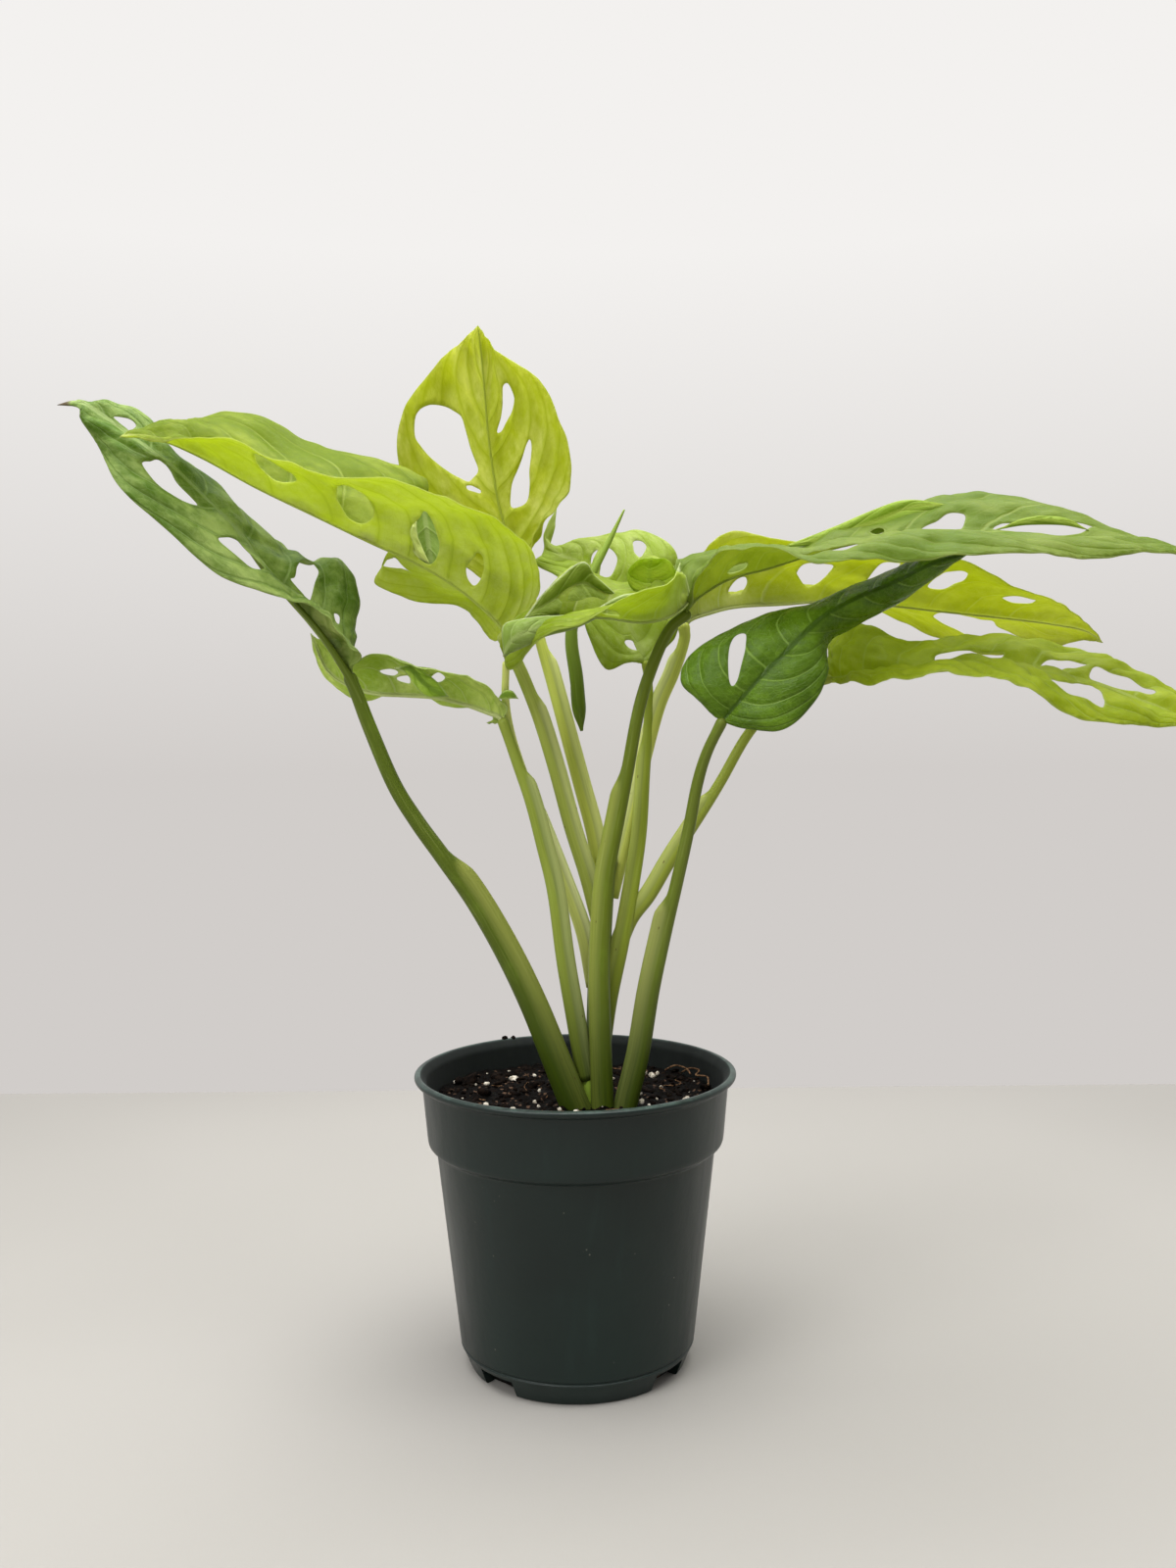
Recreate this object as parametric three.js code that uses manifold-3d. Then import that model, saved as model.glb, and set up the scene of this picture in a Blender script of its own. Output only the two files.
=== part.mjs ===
// A fenestrated climbing aroid with lime and green leaves, growing in a round nursery pot.
// Millimetres, +Z up. The origin is the middle of the pot's underside, and -Y is the plant's front.
import * as THREE from 'three';
import Module from 'manifold-3d';

const wasm = await Module();
wasm.setup();

// Driving dimensions
const clearance = 0.3;          // gap left between neighbouring pieces
const potHeight = 138;
const potRimRadius = 76;        // outside of the rolled lip
const potLipDrop = 3.2;         // depth of the rolled lip
const potLipRound = 1.8;        // rounding of the lip's outer edge
const potBandRadius = 72.5;     // collar band under the lip
const potBandFoot = 108;        // height where the band ends
const potBandStep = 4;          // how far the band stands out from the body
const potBodyRadius = 66;       // body just under the band
const potGrooveHeight = 11;     // thin groove round the foot
const potGrooveDepth = 0.7;
const potGrooveRadius = 55.6;
const potFootRadius = 51;
const potWall = 2.2;
const potFloor = 3;
const potSides = 40;
const notchWidth = 20;
const notchHeight = 8;
const notchDepth = 16;
const notchAngles = [-43, 52, 137, 232];    // degrees from the front, towards +X
const soilLevel = 124;
const soilLump = 1.3;
const soilRings = [0.86, 0.66, 0.46, 0.24]; // lumpy rings, as shares of the soil's radius
const perliteCount = 16;
const perliteSize = [1.4, 3];
const perliteReach = [12, 60];  // how far from the pot's middle the grains lie
const bladeThickness = 0.8;
const ribThickness = 2.4;       // blade at the foot of the midrib
const bladeArch = 0.12;         // bulge of each half, as a share of its width
const marginStep = 7;           // spacing of points along the margins
const sheetStep = 12;           // spacing inside the blade
const holeStep = 4.5;           // spacing round a hole
const leastHoleSides = 7;
const petioleSides = 10;
const petioleStep = 17;
const sheathShoulder = 0.02;    // share of a stalk over which its sheath ends

// A small repeatable random draw
function makeRandom(seed) {
  let state = seed;
  return () => {
    state = (state * 1664525 + 1013904223) % 4294967296;
    return state / 4294967296;
  };
}

// The leaves. The midrib and margins are hand-set points from stalk to tip, and the stalk runs from
// its foot to the blade. A hole is a ring of places [s, c] on the blade, as explained with makeBlade.
const leaves = [
  {
    name: 'leaf_far_left',
    color: 0x4c8a3a,
    rib: [
      [-98, -35, 323], [-101, -35, 329], [-108, -35, 339], [-116, -34, 349], [-124, -34, 358],
      [-135, -35, 371], [-146, -38, 387], [-158, -42, 400], [-173, -48, 415], [-188, -53, 426],
      [-200, -58, 435], [-207, -61, 439], [-213, -68, 436],
    ],
    left: [
      [-98, -35, 323], [-93, -41, 331], [-95, -45, 337], [-105, -48, 347], [-115, -49, 352],
      [-128, -51, 358], [-149, -56, 366], [-171, -60, 385], [-189, -64, 402], [-199, -62, 421],
      [-205, -62, 430], [-207, -63, 436], [-213, -68, 436],
    ],
    right: [
      [-98, -35, 323], [-96, -31, 330], [-100, -24, 342], [-101, -10, 364], [-110, -6, 378],
      [-122, -6, 379], [-135, -8, 383], [-154, -12, 396], [-165, -20, 414], [-180, -36, 429],
      [-195, -50, 439], [-206, -59, 441], [-213, -68, 436],
    ],
    holes: [
      [[0.804, 0.205], [0.789, 0.129], [0.769, 0.112], [0.76, 0.106], [0.766, 0.32], [0.784, 0.38]],
      [[0.682, -0.465], [0.682, -0.275], [0.68, -0.076], [0.654, -0.09], [0.62, -0.2], [0.589, -0.21],
       [0.591, -0.31], [0.606, -0.46], [0.631, -0.52], [0.654, -0.52]],
      [[0.529, -0.525], [0.503, -0.265], [0.487, -0.28], [0.456, -0.435], [0.443, -0.51],
       [0.461, -0.645], [0.486, -0.615], [0.51, -0.59]],
      [[0.384, 0.375], [0.39, 0.63], [0.357, 0.605], [0.336, 0.565], [0.319, 0.365], [0.299, 0.22],
       [0.294, 0.15], [0.329, 0.14], [0.367, 0.145], [0.365, 0.215]],
      [[0.22, 0.4], [0.216, 0.51], [0.206, 0.56], [0.193, 0.45], [0.203, 0.38]],
    ],
    stalk: {
      path: [
        [4, -15, 110], [-2, -18, 124], [-12, -19, 150], [-21, -20, 173], [-32, -22, 197],
        [-45, -25, 221], [-59, -28, 242], [-70, -30, 258], [-80, -31, 275], [-90, -33, 300],
        [-95, -34, 314], [-98, -35, 322],
      ],
      foot: 5, top: 2.8, reach: 4.2, sheathEnd: 0.52,
    },
  },
  {
    name: 'leaf_long_front',
    color: 0xa9c52f,
    rib: [
      [-30, -28, 341], [-31, -28, 344], [-37, -29, 351], [-50, -31, 362], [-68, -34, 373],
      [-88, -38, 382], [-111, -42, 393], [-136, -46, 405], [-158, -51, 417], [-174, -60, 423],
      [-188, -66, 423],
    ],
    left: [
      [-30, -28, 341], [-15, -31, 357], [-16, -40, 372], [-26, -54, 386], [-43, -64, 397],
      [-65, -72, 401], [-96, -72, 406], [-124, -70, 412], [-148, -66, 420], [-169, -65, 423],
      [-188, -66, 423],
    ],
    right: [
      [-30, -28, 341], [-35, -24, 339], [-52, -2, 356], [-79, 4, 363], [-95, 8, 374],
      [-65, 4, 415], [-88, 0, 429], [-122, -8, 431], [-154, -24, 441], [-172, -46, 435],
      [-188, -66, 423],
    ],
    holes: [
      [[0.728, -0.735], [0.703, -0.715], [0.669, -0.58], [0.655, -0.485], [0.651, -0.385],
       [0.669, -0.285], [0.686, -0.275], [0.708, -0.405]],
      [[0.59, -0.535], [0.581, -0.68], [0.569, -0.68], [0.547, -0.51], [0.525, -0.365], [0.521, -0.24],
       [0.53, -0.15], [0.549, -0.16], [0.565, -0.23], [0.584, -0.375]],
      [[0.446, -0.445], [0.446, -0.545], [0.422, -0.46], [0.398, -0.345], [0.381, -0.24],
       [0.374, -0.115], [0.38, -0.045], [0.406, -0.06], [0.435, -0.19], [0.45, -0.31]],
      [[0.315, -0.355], [0.316, -0.44], [0.301, -0.44], [0.281, -0.325], [0.274, -0.2], [0.278, -0.13],
       [0.299, -0.15], [0.315, -0.23]],
      [[0.404, 0.87], [0.409, 0.785], [0.399, 0.615], [0.357, 0.48], [0.357, 0.625], [0.393, 0.805]],
    ],
    stalk: {
      path: [
        [12, -4, 206], [6, -5, 230], [-1, -7, 253], [-8, -10, 280], [-15, -15, 304],
        [-22, -21, 323], [-27, -26, 334], [-30, -28, 340],
      ],
      foot: 3.4, top: 2.8, reach: 2, sheathEnd: 0.62,
    },
  },
  {
    name: 'leaf_top',
    color: 0xa4bd2c,
    rib: [
      [-20, 14, 365], [-21, 14, 368], [-24, 13, 376], [-28, 12, 387], [-33, 9, 401],
      [-36, 5, 419], [-38, 0, 437], [-39, -5, 454], [-40, -11, 471], [-41, -17, 482],
    ],
    left: [
      [-20, 14, 365], [-16, 14, 370], [-17, 8, 389], [-7, 2, 402], [0, -3, 420],
      [-4, -8, 438], [-16, -12, 458], [-31, -14, 469], [-37, -15, 476], [-41, -17, 482],
    ],
    right: [
      [-20, 14, 365], [-34, 16, 367], [-53, 18, 379], [-72, 16, 400], [-82, 10, 427],
      [-78, 4, 448], [-65, -2, 465], [-53, -10, 474], [-45, -14, 479], [-41, -17, 482],
    ],
    holes: [
      [[0.557, 0.885], [0.579, 0.88], [0.598, 0.84], [0.609, 0.79], [0.621, 0.68], [0.628, 0.565],
       [0.629, 0.465], [0.609, 0.385], [0.583, 0.31], [0.57, 0.26], [0.551, 0.195], [0.536, 0.185],
       [0.512, 0.23], [0.486, 0.305], [0.479, 0.39], [0.476, 0.52], [0.487, 0.685], [0.504, 0.795],
       [0.519, 0.85]],
      [[0.731, -0.555], [0.726, -0.635], [0.711, -0.635], [0.686, -0.59], [0.674, -0.54],
       [0.66, -0.445], [0.652, -0.315], [0.642, -0.205], [0.651, -0.14], [0.672, -0.245],
       [0.695, -0.345], [0.719, -0.455]],
      [[0.578, -0.55], [0.565, -0.555], [0.541, -0.505], [0.508, -0.435], [0.476, -0.41],
       [0.439, -0.355], [0.43, -0.28], [0.444, -0.14], [0.479, -0.155], [0.508, -0.205], [0.53, -0.3],
       [0.551, -0.395], [0.57, -0.475]],
      [[0.468, 0.343], [0.479, 0.282], [0.481, 0.231], [0.479, 0.188], [0.467, 0.218], [0.463, 0.27],
       [0.46, 0.334]],
    ],
    stalk: {
      path: [
        [13, 1, 226], [9, 2, 250], [3, 4, 273], [-3, 6, 296], [-9, 9, 319],
        [-15, 12, 341], [-18, 14, 355], [-20, 14, 365],
      ],
      foot: 3.2, top: 2.4, reach: 2.6, sheathEnd: 0.66,
    },
  },
  {
    name: 'leaf_back_centre',
    color: 0x9cc04a,
    rib: [
      [35, 4, 329], [34, 5, 332], [31, 9, 340], [26, 12, 351], [19, 16, 363],
      [11, 20, 373], [3, 24, 380], [-6, 28, 384], [-12, 32, 392], [-10, 34, 400],
      [-7, 36, 409],
    ],
    left: [
      [35, 4, 329], [28, 2, 330], [16, 0, 327], [8, 2, 342], [5, 6, 354],
      [0, 12, 366], [-8, 20, 373], [-18, 28, 380], [-14, 32, 387], [-12, 34, 397],
      [-7, 36, 409],
    ],
    right: [
      [35, 4, 329], [41, 9, 334], [50, 13, 347], [51, 17, 365], [50, 14, 384],
      [34, 24, 395], [14, 32, 394], [0, 34, 392], [-9, 33, 389], [-8, 34, 399],
      [-7, 36, 409],
    ],
    holes: [
      [[0.55, 0.381], [0.542, 0.241], [0.539, 0.101], [0.55, 0.151], [0.557, 0.291]],
      [[0.529, 0.46], [0.503, 0.44], [0.474, 0.385], [0.456, 0.295], [0.444, 0.165], [0.46, 0.09],
       [0.484, 0.057], [0.497, 0.135], [0.516, 0.29]],
      [[0.478, 0.7], [0.476, 0.77], [0.468, 0.8], [0.454, 0.78], [0.441, 0.71], [0.429, 0.585],
       [0.45, 0.58], [0.465, 0.635]],
      [[0.231, -0.28], [0.231, -0.175], [0.215, -0.084], [0.198, -0.088], [0.176, -0.1],
       [0.164, -0.112], [0.182, -0.215], [0.21, -0.275]],
    ],
    stalk: {
      path: [
        [13, -6, 146], [17, -8, 172], [23, -7, 199], [28, -5, 225], [32, -2, 250],
        [34, 0, 277], [36, 2, 305], [36, 4, 321], [35, 4, 329],
      ],
      foot: 3.3, top: 1.9, reach: -2.2, sheathEnd: 0.68,
    },
  },
  {
    name: 'leaf_curled',
    color: 0x7fb04a,
    rib: [
      [-29, -34, 329], [-28, -37, 332], [-22, -41, 339], [-12, -44, 344], [1, -43, 348],
      [16, -40, 348], [32, -38, 346], [45, -34, 349], [53, -28, 356], [52, -22, 368],
    ],
    left: [
      [-29, -34, 329], [-30, -40, 337], [-27, -44, 345], [-15, -42, 357], [-3, -32, 368],
      [7, -16, 372], [26, -12, 367], [32, -8, 376], [43, -8, 378], [52, -22, 368],
    ],
    right: [
      [-29, -34, 329], [-27, -40, 325], [-21, -50, 332], [-9, -58, 340], [4, -58, 344],
      [18, -58, 351], [31, -56, 356], [43, -50, 360], [48, -40, 367], [52, -22, 368],
    ],
    holes: [
      [[0.535, 0.345], [0.55, 0.41], [0.576, 0.275], [0.593, 0.115], [0.581, 0.101], [0.556, 0.103],
       [0.54, 0.175]],
    ],
    stalk: {
      path: [
        [9, -4, 178], [4, -6, 204], [-5, -8, 230], [-13, -11, 252], [-22, -13, 276],
        [-28, -15, 296], [-30, -22, 312], [-29, -33, 328],
      ],
      foot: 3.6, top: 1.5, reach: 1.4, sheathEnd: 0.5,
    },
  },
  {
    name: 'leaf_low_left',
    color: 0x5c9a30,
    rib: [
      [-31, -22, 302], [-33, -22, 305], [-38, -22, 307], [-49, -22, 311], [-62, -21, 314],
      [-76, -18, 315], [-91, -12, 316], [-104, -8, 320], [-114, -9, 328], [-120, -12, 344],
    ],
    left: [
      [-31, -22, 302], [-31, -26, 310], [-37, -32, 318], [-48, -36, 319], [-60, -38, 324],
      [-73, -36, 329], [-89, -27, 333], [-103, -18, 332], [-111, -12, 334], [-120, -12, 344],
    ],
    right: [
      [-31, -22, 302], [-34, -18, 302], [-38, -10, 305], [-49, -2, 309], [-63, 4, 313],
      [-80, 8, 315], [-96, 10, 316], [-110, 8, 319], [-119, 2, 328], [-120, -12, 344],
    ],
    holes: [
      [[0.655, -0.526], [0.619, -0.599], [0.592, -0.518], [0.608, -0.405], [0.642, -0.427]],
      [[0.596, -0.364], [0.576, -0.447], [0.549, -0.465], [0.545, -0.267], [0.568, -0.276],
       [0.59, -0.306]],
      [[0.469, -0.515], [0.44, -0.83], [0.415, -0.685], [0.435, -0.43], [0.463, -0.4]],
    ],
    stalk: {
      path: [
        [4, -14, 136], [0, -16, 161], [-5, -18, 192], [-9, -20, 224], [-14, -21, 246],
        [-19, -22, 266], [-25, -22, 284], [-31, -22, 302],
      ],
      foot: 3.4, top: 2.4, reach: 2.6, sheathEnd: 0.8,
    },
  },
  {
    name: 'leaf_upper_right',
    color: 0x6fa05a,
    rib: [
      [52, -22, 350], [53, -23, 353], [59, -25, 359], [72, -29, 366], [89, -33, 370],
      [109, -36, 376], [132, -38, 381], [157, -40, 384], [184, -42, 383], [213, -44, 380],
      [243, -46, 376], [274, -48, 372],
    ],
    left: [
      [52, -22, 350], [48, -14, 372], [53, -10, 378], [72, -8, 381], [99, -6, 382],
      [123, -4, 388], [152, -2, 396], [180, 2, 404], [210, 0, 405], [237, -10, 393],
      [256, -28, 381], [274, -48, 372],
    ],
    right: [
      [52, -22, 350], [55, -32, 356], [57, -46, 366], [68, -60, 375], [86, -68, 375],
      [105, -72, 367], [128, -74, 368], [154, -74, 370], [184, -72, 370], [216, -66, 370],
      [245, -58, 371], [274, -48, 372],
    ],
    holes: [
      [[0.625, -0.05], [0.638, -0.115], [0.656, -0.21], [0.679, -0.225], [0.685, -0.125],
       [0.684, -0.035], [0.671, -0.035], [0.664, -0.036], [0.652, -0.036], [0.636, -0.037]],
      [[0.729, -0.05], [0.733, -0.105], [0.751, -0.17], [0.843, -0.36], [0.848, -0.285], [0.841, -0.13],
       [0.818, -0.045], [0.792, -0.04], [0.768, -0.037], [0.754, -0.036], [0.743, -0.036]],
      [[0.424, 0.85], [0.471, 0.585], [0.526, 0.66], [0.516, 0.72], [0.495, 0.77], [0.458, 0.77]],
      [[0.542, -0.13], [0.551, -0.17], [0.565, -0.115], [0.565, -0.06], [0.55, -0.075]],
      [[0.269, 0.145], [0.291, 0.205], [0.314, 0.185], [0.31, 0.1], [0.289, 0.057], [0.269, 0.08]],
    ],
    stalk: {
      path: [
        [14, -18, 108], [14, -18, 124], [13, -17, 169], [13, -16, 190], [14, -16, 212], [16, -16, 233],
        [21, -17, 258], [25, -18, 278], [31, -19, 309], [38, -20, 330], [45, -21, 344],
        [52, -22, 350],
      ],
      foot: 4, top: 2.4, reach: -2.8, sheathEnd: 0.62,
    },
  },
  {
    name: 'leaf_lime_right',
    color: 0xa6c22c,
    rib: [
      [53, 2, 346], [56, 4, 350], [64, 8, 353], [79, 16, 357], [103, 26, 359],
      [130, 34, 361], [159, 40, 359], [187, 44, 356], [215, 46, 353], [239, 47, 350],
      [258, 46, 346], [266, 45, 340],
    ],
    left: [
      [53, 2, 346], [52, 12, 353], [59, 26, 357], [77, 44, 364], [106, 60, 369],
      [138, 70, 369], [170, 76, 355], [196, 78, 344], [218, 74, 336], [240, 64, 337],
      [259, 52, 342], [266, 45, 340],
    ],
    right: [
      [53, 2, 346], [58, 2, 365], [62, 6, 383], [77, 6, 392], [98, 4, 388],
      [123, 4, 383], [153, 6, 381], [183, 10, 378], [211, 18, 366], [238, 28, 360],
      [254, 38, 350], [266, 45, 340],
    ],
    holes: [
      [[0.264, 0.205], [0.283, 0.33], [0.302, 0.365], [0.305, 0.28], [0.292, 0.18], [0.27, 0.165]],
      [[0.399, 0.43], [0.416, 0.61], [0.456, 0.585], [0.449, 0.43], [0.434, 0.275], [0.416, 0.205],
       [0.409, 0.21], [0.4, 0.355]],
      [[0.504, 0.295], [0.519, 0.5], [0.539, 0.685], [0.556, 0.74], [0.554, 0.565], [0.537, 0.42],
       [0.52, 0.31]],
      [[0.604, 0.295], [0.613, 0.45], [0.628, 0.635], [0.65, 0.755], [0.661, 0.705], [0.66, 0.545],
       [0.644, 0.41], [0.625, 0.3]],
      [[0.725, 0.41], [0.743, 0.55], [0.769, 0.67], [0.781, 0.635], [0.776, 0.46], [0.753, 0.335],
       [0.735, 0.335]],
      [[0.614, -0.51], [0.628, -0.295], [0.65, -0.235], [0.688, -0.155], [0.716, -0.19], [0.731, -0.38],
       [0.765, -0.555], [0.791, -0.67], [0.796, -0.81], [0.756, -0.76], [0.701, -0.75], [0.645, -0.67],
       [0.618, -0.6]],
    ],
    stalk: {
      path: [
        [18, 3, 219], [27, 3, 255], [34, 3, 284], [41, 3, 309], [48, 3, 325],
        [53, 3, 340], [53, 2, 346],
      ],
      foot: 3.3, top: 2.6, reach: -2, sheathEnd: 0.75,
    },
  },
  {
    name: 'leaf_glossy',
    color: 0x2f6b1e,
    rib: [
      [66, -42, 302], [69, -43, 305], [74, -46, 311], [82, -49, 320], [92, -50, 330],
      [102, -49, 340], [113, -45, 349], [129, -38, 357], [146, -30, 364], [163, -22, 372],
      [185, -12, 379],
    ],
    left: [
      [66, -42, 302], [60, -42, 307], [49, -40, 319], [52, -36, 330], [64, -32, 340],
      [85, -28, 349], [107, -24, 353], [127, -14, 361], [146, -8, 369], [165, -6, 377],
      [185, -12, 379],
    ],
    right: [
      [66, -42, 302], [74, -46, 299], [91, -52, 298], [104, -54, 308], [111, -52, 321],
      [112, -46, 332], [117, -34, 339], [133, -22, 346], [151, -12, 355], [170, -6, 369],
      [185, -12, 379],
    ],
    holes: [
      [[0.354, -0.55], [0.404, -0.69], [0.425, -0.68], [0.417, -0.56], [0.367, -0.38], [0.284, -0.225],
       [0.249, -0.215], [0.26, -0.285], [0.304, -0.41]],
    ],
    stalk: {
      path: [
        [22, -16, 108], [25, -18, 124], [31, -20, 149], [36, -22, 179], [42, -24, 207], [47, -27, 229],
        [52, -30, 252], [56, -34, 274], [60, -38, 288], [66, -42, 301],
      ],
      foot: 3.7, top: 2.3, reach: -4, sheathEnd: 0.5,
    },
  },
  {
    name: 'leaf_low_right',
    color: 0x9cbf30,
    rib: [
      [119, -8, 321], [123, -9, 321], [131, -11, 322], [144, -14, 323], [160, -17, 324],
      [178, -20, 325], [197, -23, 323], [216, -26, 321], [237, -28, 317], [256, -30, 309],
      [274, -32, 301], [290, -34, 293],
    ],
    left: [
      [119, -8, 321], [120, 4, 330], [125, 16, 340], [140, 24, 347], [162, 30, 338],
      [189, 34, 339], [213, 34, 340], [236, 28, 335], [254, 16, 329], [265, 0, 321],
      [279, -16, 310], [290, -34, 293],
    ],
    right: [
      [119, -8, 321], [124, -18, 319], [132, -32, 318], [143, -44, 319], [155, -54, 321],
      [171, -60, 320], [187, -62, 318], [202, -62, 311], [220, -58, 300], [243, -52, 299],
      [268, -44, 298], [290, -34, 293],
    ],
    holes: [
      [[0.403, -0.215], [0.416, -0.245], [0.476, -0.235], [0.534, -0.23], [0.53, -0.18], [0.476, -0.1],
       [0.43, -0.065], [0.405, -0.095]],
      [[0.616, -0.15], [0.629, -0.225], [0.657, -0.28], [0.699, -0.26], [0.671, -0.175], [0.65, -0.115],
       [0.625, -0.11]],
      [[0.708, -0.165], [0.714, -0.245], [0.743, -0.25], [0.797, -0.37], [0.838, -0.315],
       [0.835, -0.195], [0.801, -0.105], [0.761, -0.045], [0.724, -0.04], [0.709, -0.065]],
      [[0.639, 0.685], [0.674, 0.505], [0.714, 0.275], [0.738, 0.42], [0.75, 0.585], [0.749, 0.68],
       [0.73, 0.69], [0.7, 0.715], [0.666, 0.74]],
    ],
    stalk: {
      path: [
        [20, -3, 192], [27, -4, 209], [36, -5, 221], [46, -6, 238], [57, -7, 255],
        [64, -8, 266], [70, -9, 276], [81, -9, 295], [94, -9, 310], [108, -8, 318],
        [119, -8, 321],
      ],
      foot: 3.2, top: 2, reach: -2.4, sheathEnd: 0.5,
    },
  },
];

// Solids
function solidFrom(points, triangles) {
  const mesh = new wasm.Mesh({
    numProp: 3,
    vertProperties: new Float32Array(points.flatMap((p) => [p.x, p.y, p.z])),
    triVerts: new Uint32Array(triangles.flat()),
  });
  mesh.merge();
  return new wasm.Manifold(mesh);
}

function solidFromGeometry(geometry) {
  const plain = geometry.index ? geometry.toNonIndexed() : geometry;
  const position = plain.attributes.position;
  const seen = new Map();
  const points = [];
  const corners = [];
  for (let i = 0; i < position.count; i += 1) {
    const p = new THREE.Vector3().fromBufferAttribute(position, i);
    const key = `${p.x.toFixed(3)} ${p.y.toFixed(3)} ${p.z.toFixed(3)}`;
    if (!seen.has(key)) {
      seen.set(key, points.length);
      points.push(p);
    }
    corners.push(seen.get(key));
  }
  const triangles = [];
  for (let i = 0; i < corners.length; i += 3) {
    const [a, b, c] = corners.slice(i, i + 3);
    if (a !== b && b !== c && c !== a) triangles.push([a, b, c]);
  }
  return solidFrom(points, triangles);
}

function largestPiece(solid) {
  const pieces = solid.decompose();
  return pieces.reduce((best, piece) => (piece.volume() > best.volume() ? piece : best));
}

function geometryFrom(solid) {
  const mesh = solid.getMesh();
  const geometry = new THREE.BufferGeometry();
  const places = [];
  for (let i = 0; i < mesh.vertProperties.length; i += mesh.numProp) {
    places.push(...mesh.vertProperties.slice(i, i + 3));
  }
  geometry.setAttribute('position', new THREE.Float32BufferAttribute(places, 3));
  geometry.setIndex(Array.from(mesh.triVerts));
  return geometry;
}

const plant = new THREE.Group();

function addPiece(name, solid, color, roughness) {
  const material = new THREE.MeshStandardMaterial({ color, roughness, metalness: 0 });
  const mesh = new THREE.Mesh(geometryFrom(solid), material);
  mesh.name = name;
  plant.add(mesh);
}

// Curves through hand-set points
function curveThrough(points) {
  const vectors = points.map((p) => new THREE.Vector3(...p));
  return new THREE.CatmullRomCurve3(vectors, false, 'catmullrom', 0.5);
}

function smoothStep(from, to, value) {
  const t = Math.min(1, Math.max(0, (value - from) / (to - from)));
  return t * t * (3 - 2 * t);
}

// Stalks: a round core, and below the sheath's end a wing on one side of it
function stalk({ path, foot, top, reach = 0, sheathEnd = 0 }, grow = 0) {
  const curve = curveThrough(path);
  const rings = Math.max(6, Math.round(curve.getLength() / petioleStep));
  const stops = [];
  for (let i = 0; i <= rings; i += 1) stops.push(i / rings);
  if (reach) stops.push(sheathEnd - sheathShoulder * 0.75, sheathEnd + sheathShoulder * 0.75);
  stops.sort((a, b) => a - b);
  const hand = reach < 0 ? -1 : 1;
  const points = [];
  const centreAt = (t) => {
    const push = (t === 1 ? grow : 0) - (t === 0 ? grow : 0);
    return curve.getPoint(t).addScaledVector(curve.getTangent(t), push);
  };
  for (const t of stops) {
    const along = curve.getTangent(t);
    const across = new THREE.Vector3(1, 0, 0).addScaledVector(along, -along.x).normalize();
    const deep = new THREE.Vector3().crossVectors(along, across);
    const radius = foot + (top - foot) * t + grow;
    const sheath = 1 - smoothStep(sheathEnd - sheathShoulder, sheathEnd + sheathShoulder, t);
    for (let i = 0; i < petioleSides; i += 1) {
      const angle = (i / petioleSides) * 2 * Math.PI;
      const toWing = Math.max(0, Math.cos(angle) * hand);
      const side = radius * Math.cos(angle) + reach * sheath * toWing ** 2;
      points.push(centreAt(t)
        .addScaledVector(across, side)
        .addScaledVector(deep, radius * Math.sin(angle)));
    }
  }
  return tubeFrom(points, petioleSides, [centreAt(0), centreAt(1)]);
}

// A closed tube from rings of points, each ring with the same number of sides
function tubeFrom(points, sides, ends) {
  const ringCount = points.length / sides;
  const triangles = [];
  for (let ring = 0; ring + 1 < ringCount; ring += 1) {
    for (let i = 0; i < sides; i += 1) {
      const a = ring * sides + i;
      const b = ring * sides + ((i + 1) % sides);
      triangles.push([a, b, b + sides], [a, b + sides, a + sides]);
    }
  }
  const first = points.length;
  const last = (ringCount - 1) * sides;
  for (let i = 0; i < sides; i += 1) {
    const next = (i + 1) % sides;
    triangles.push([first, next, i], [first + 1, last + i, last + next]);
  }
  return solidFrom([...points, ...ends], triangles);
}

// Blades: a sheet between the midrib and two margins, with its holes, given a thickness.
// A place on a blade is (s, c): s runs from stalk to tip, and c from -1 at the left margin to 1
// at the right one.
function makeBlade(shape) {
  const rib = curveThrough(shape.rib);
  const left = curveThrough(shape.left);
  const right = curveThrough(shape.right);
  const length = rib.getLength();
  const marginAt = (s, side) => (side < 0 ? left : right).getPoint(s);
  const widthAt = (s, side) => marginAt(s, side).distanceTo(rib.getPoint(s));
  const place = (s, c) => {
    const base = rib.getPoint(s);
    const reach = marginAt(s, c).sub(base);
    const along = rib.getTangent(s);
    const up = c < 0 ? along.clone().cross(reach) : reach.clone().cross(along);
    const span = Math.abs(c);
    const bulge = bladeArch * reach.length() * 4 * span * (1 - span);
    return base.addScaledVector(reach, span).addScaledVector(up.normalize(), bulge);
  };
  return { rib, length, widthAt, place, holes: shape.holes };
}

// A hole's edge: a closed curve through its ring of places, laid flat, at even steps
function holeOutline(blade, ring) {
  const flat = ring.map(([s, c]) => new THREE.Vector3(s * blade.length, c * blade.widthAt(s, c), 0));
  const curve = new THREE.CatmullRomCurve3(flat, true, 'catmullrom', 0.5);
  const count = Math.max(leastHoleSides, Math.round(curve.getLength() / holeStep));
  return curve.getSpacedPoints(count).slice(0, -1).map((point) => {
    const s = point.x / blade.length;
    return [s, point.y / blade.widthAt(s, point.y)];
  });
}

function insideOutline([x, y], outline) {
  let inside = false;
  outline.forEach(([ax, ay], i) => {
    const [bx, by] = outline[(i + 1) % outline.length];
    if ((ay > y) !== (by > y) && x < ax + ((bx - ax) * (y - ay)) / (by - ay)) inside = !inside;
  });
  return inside;
}

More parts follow.
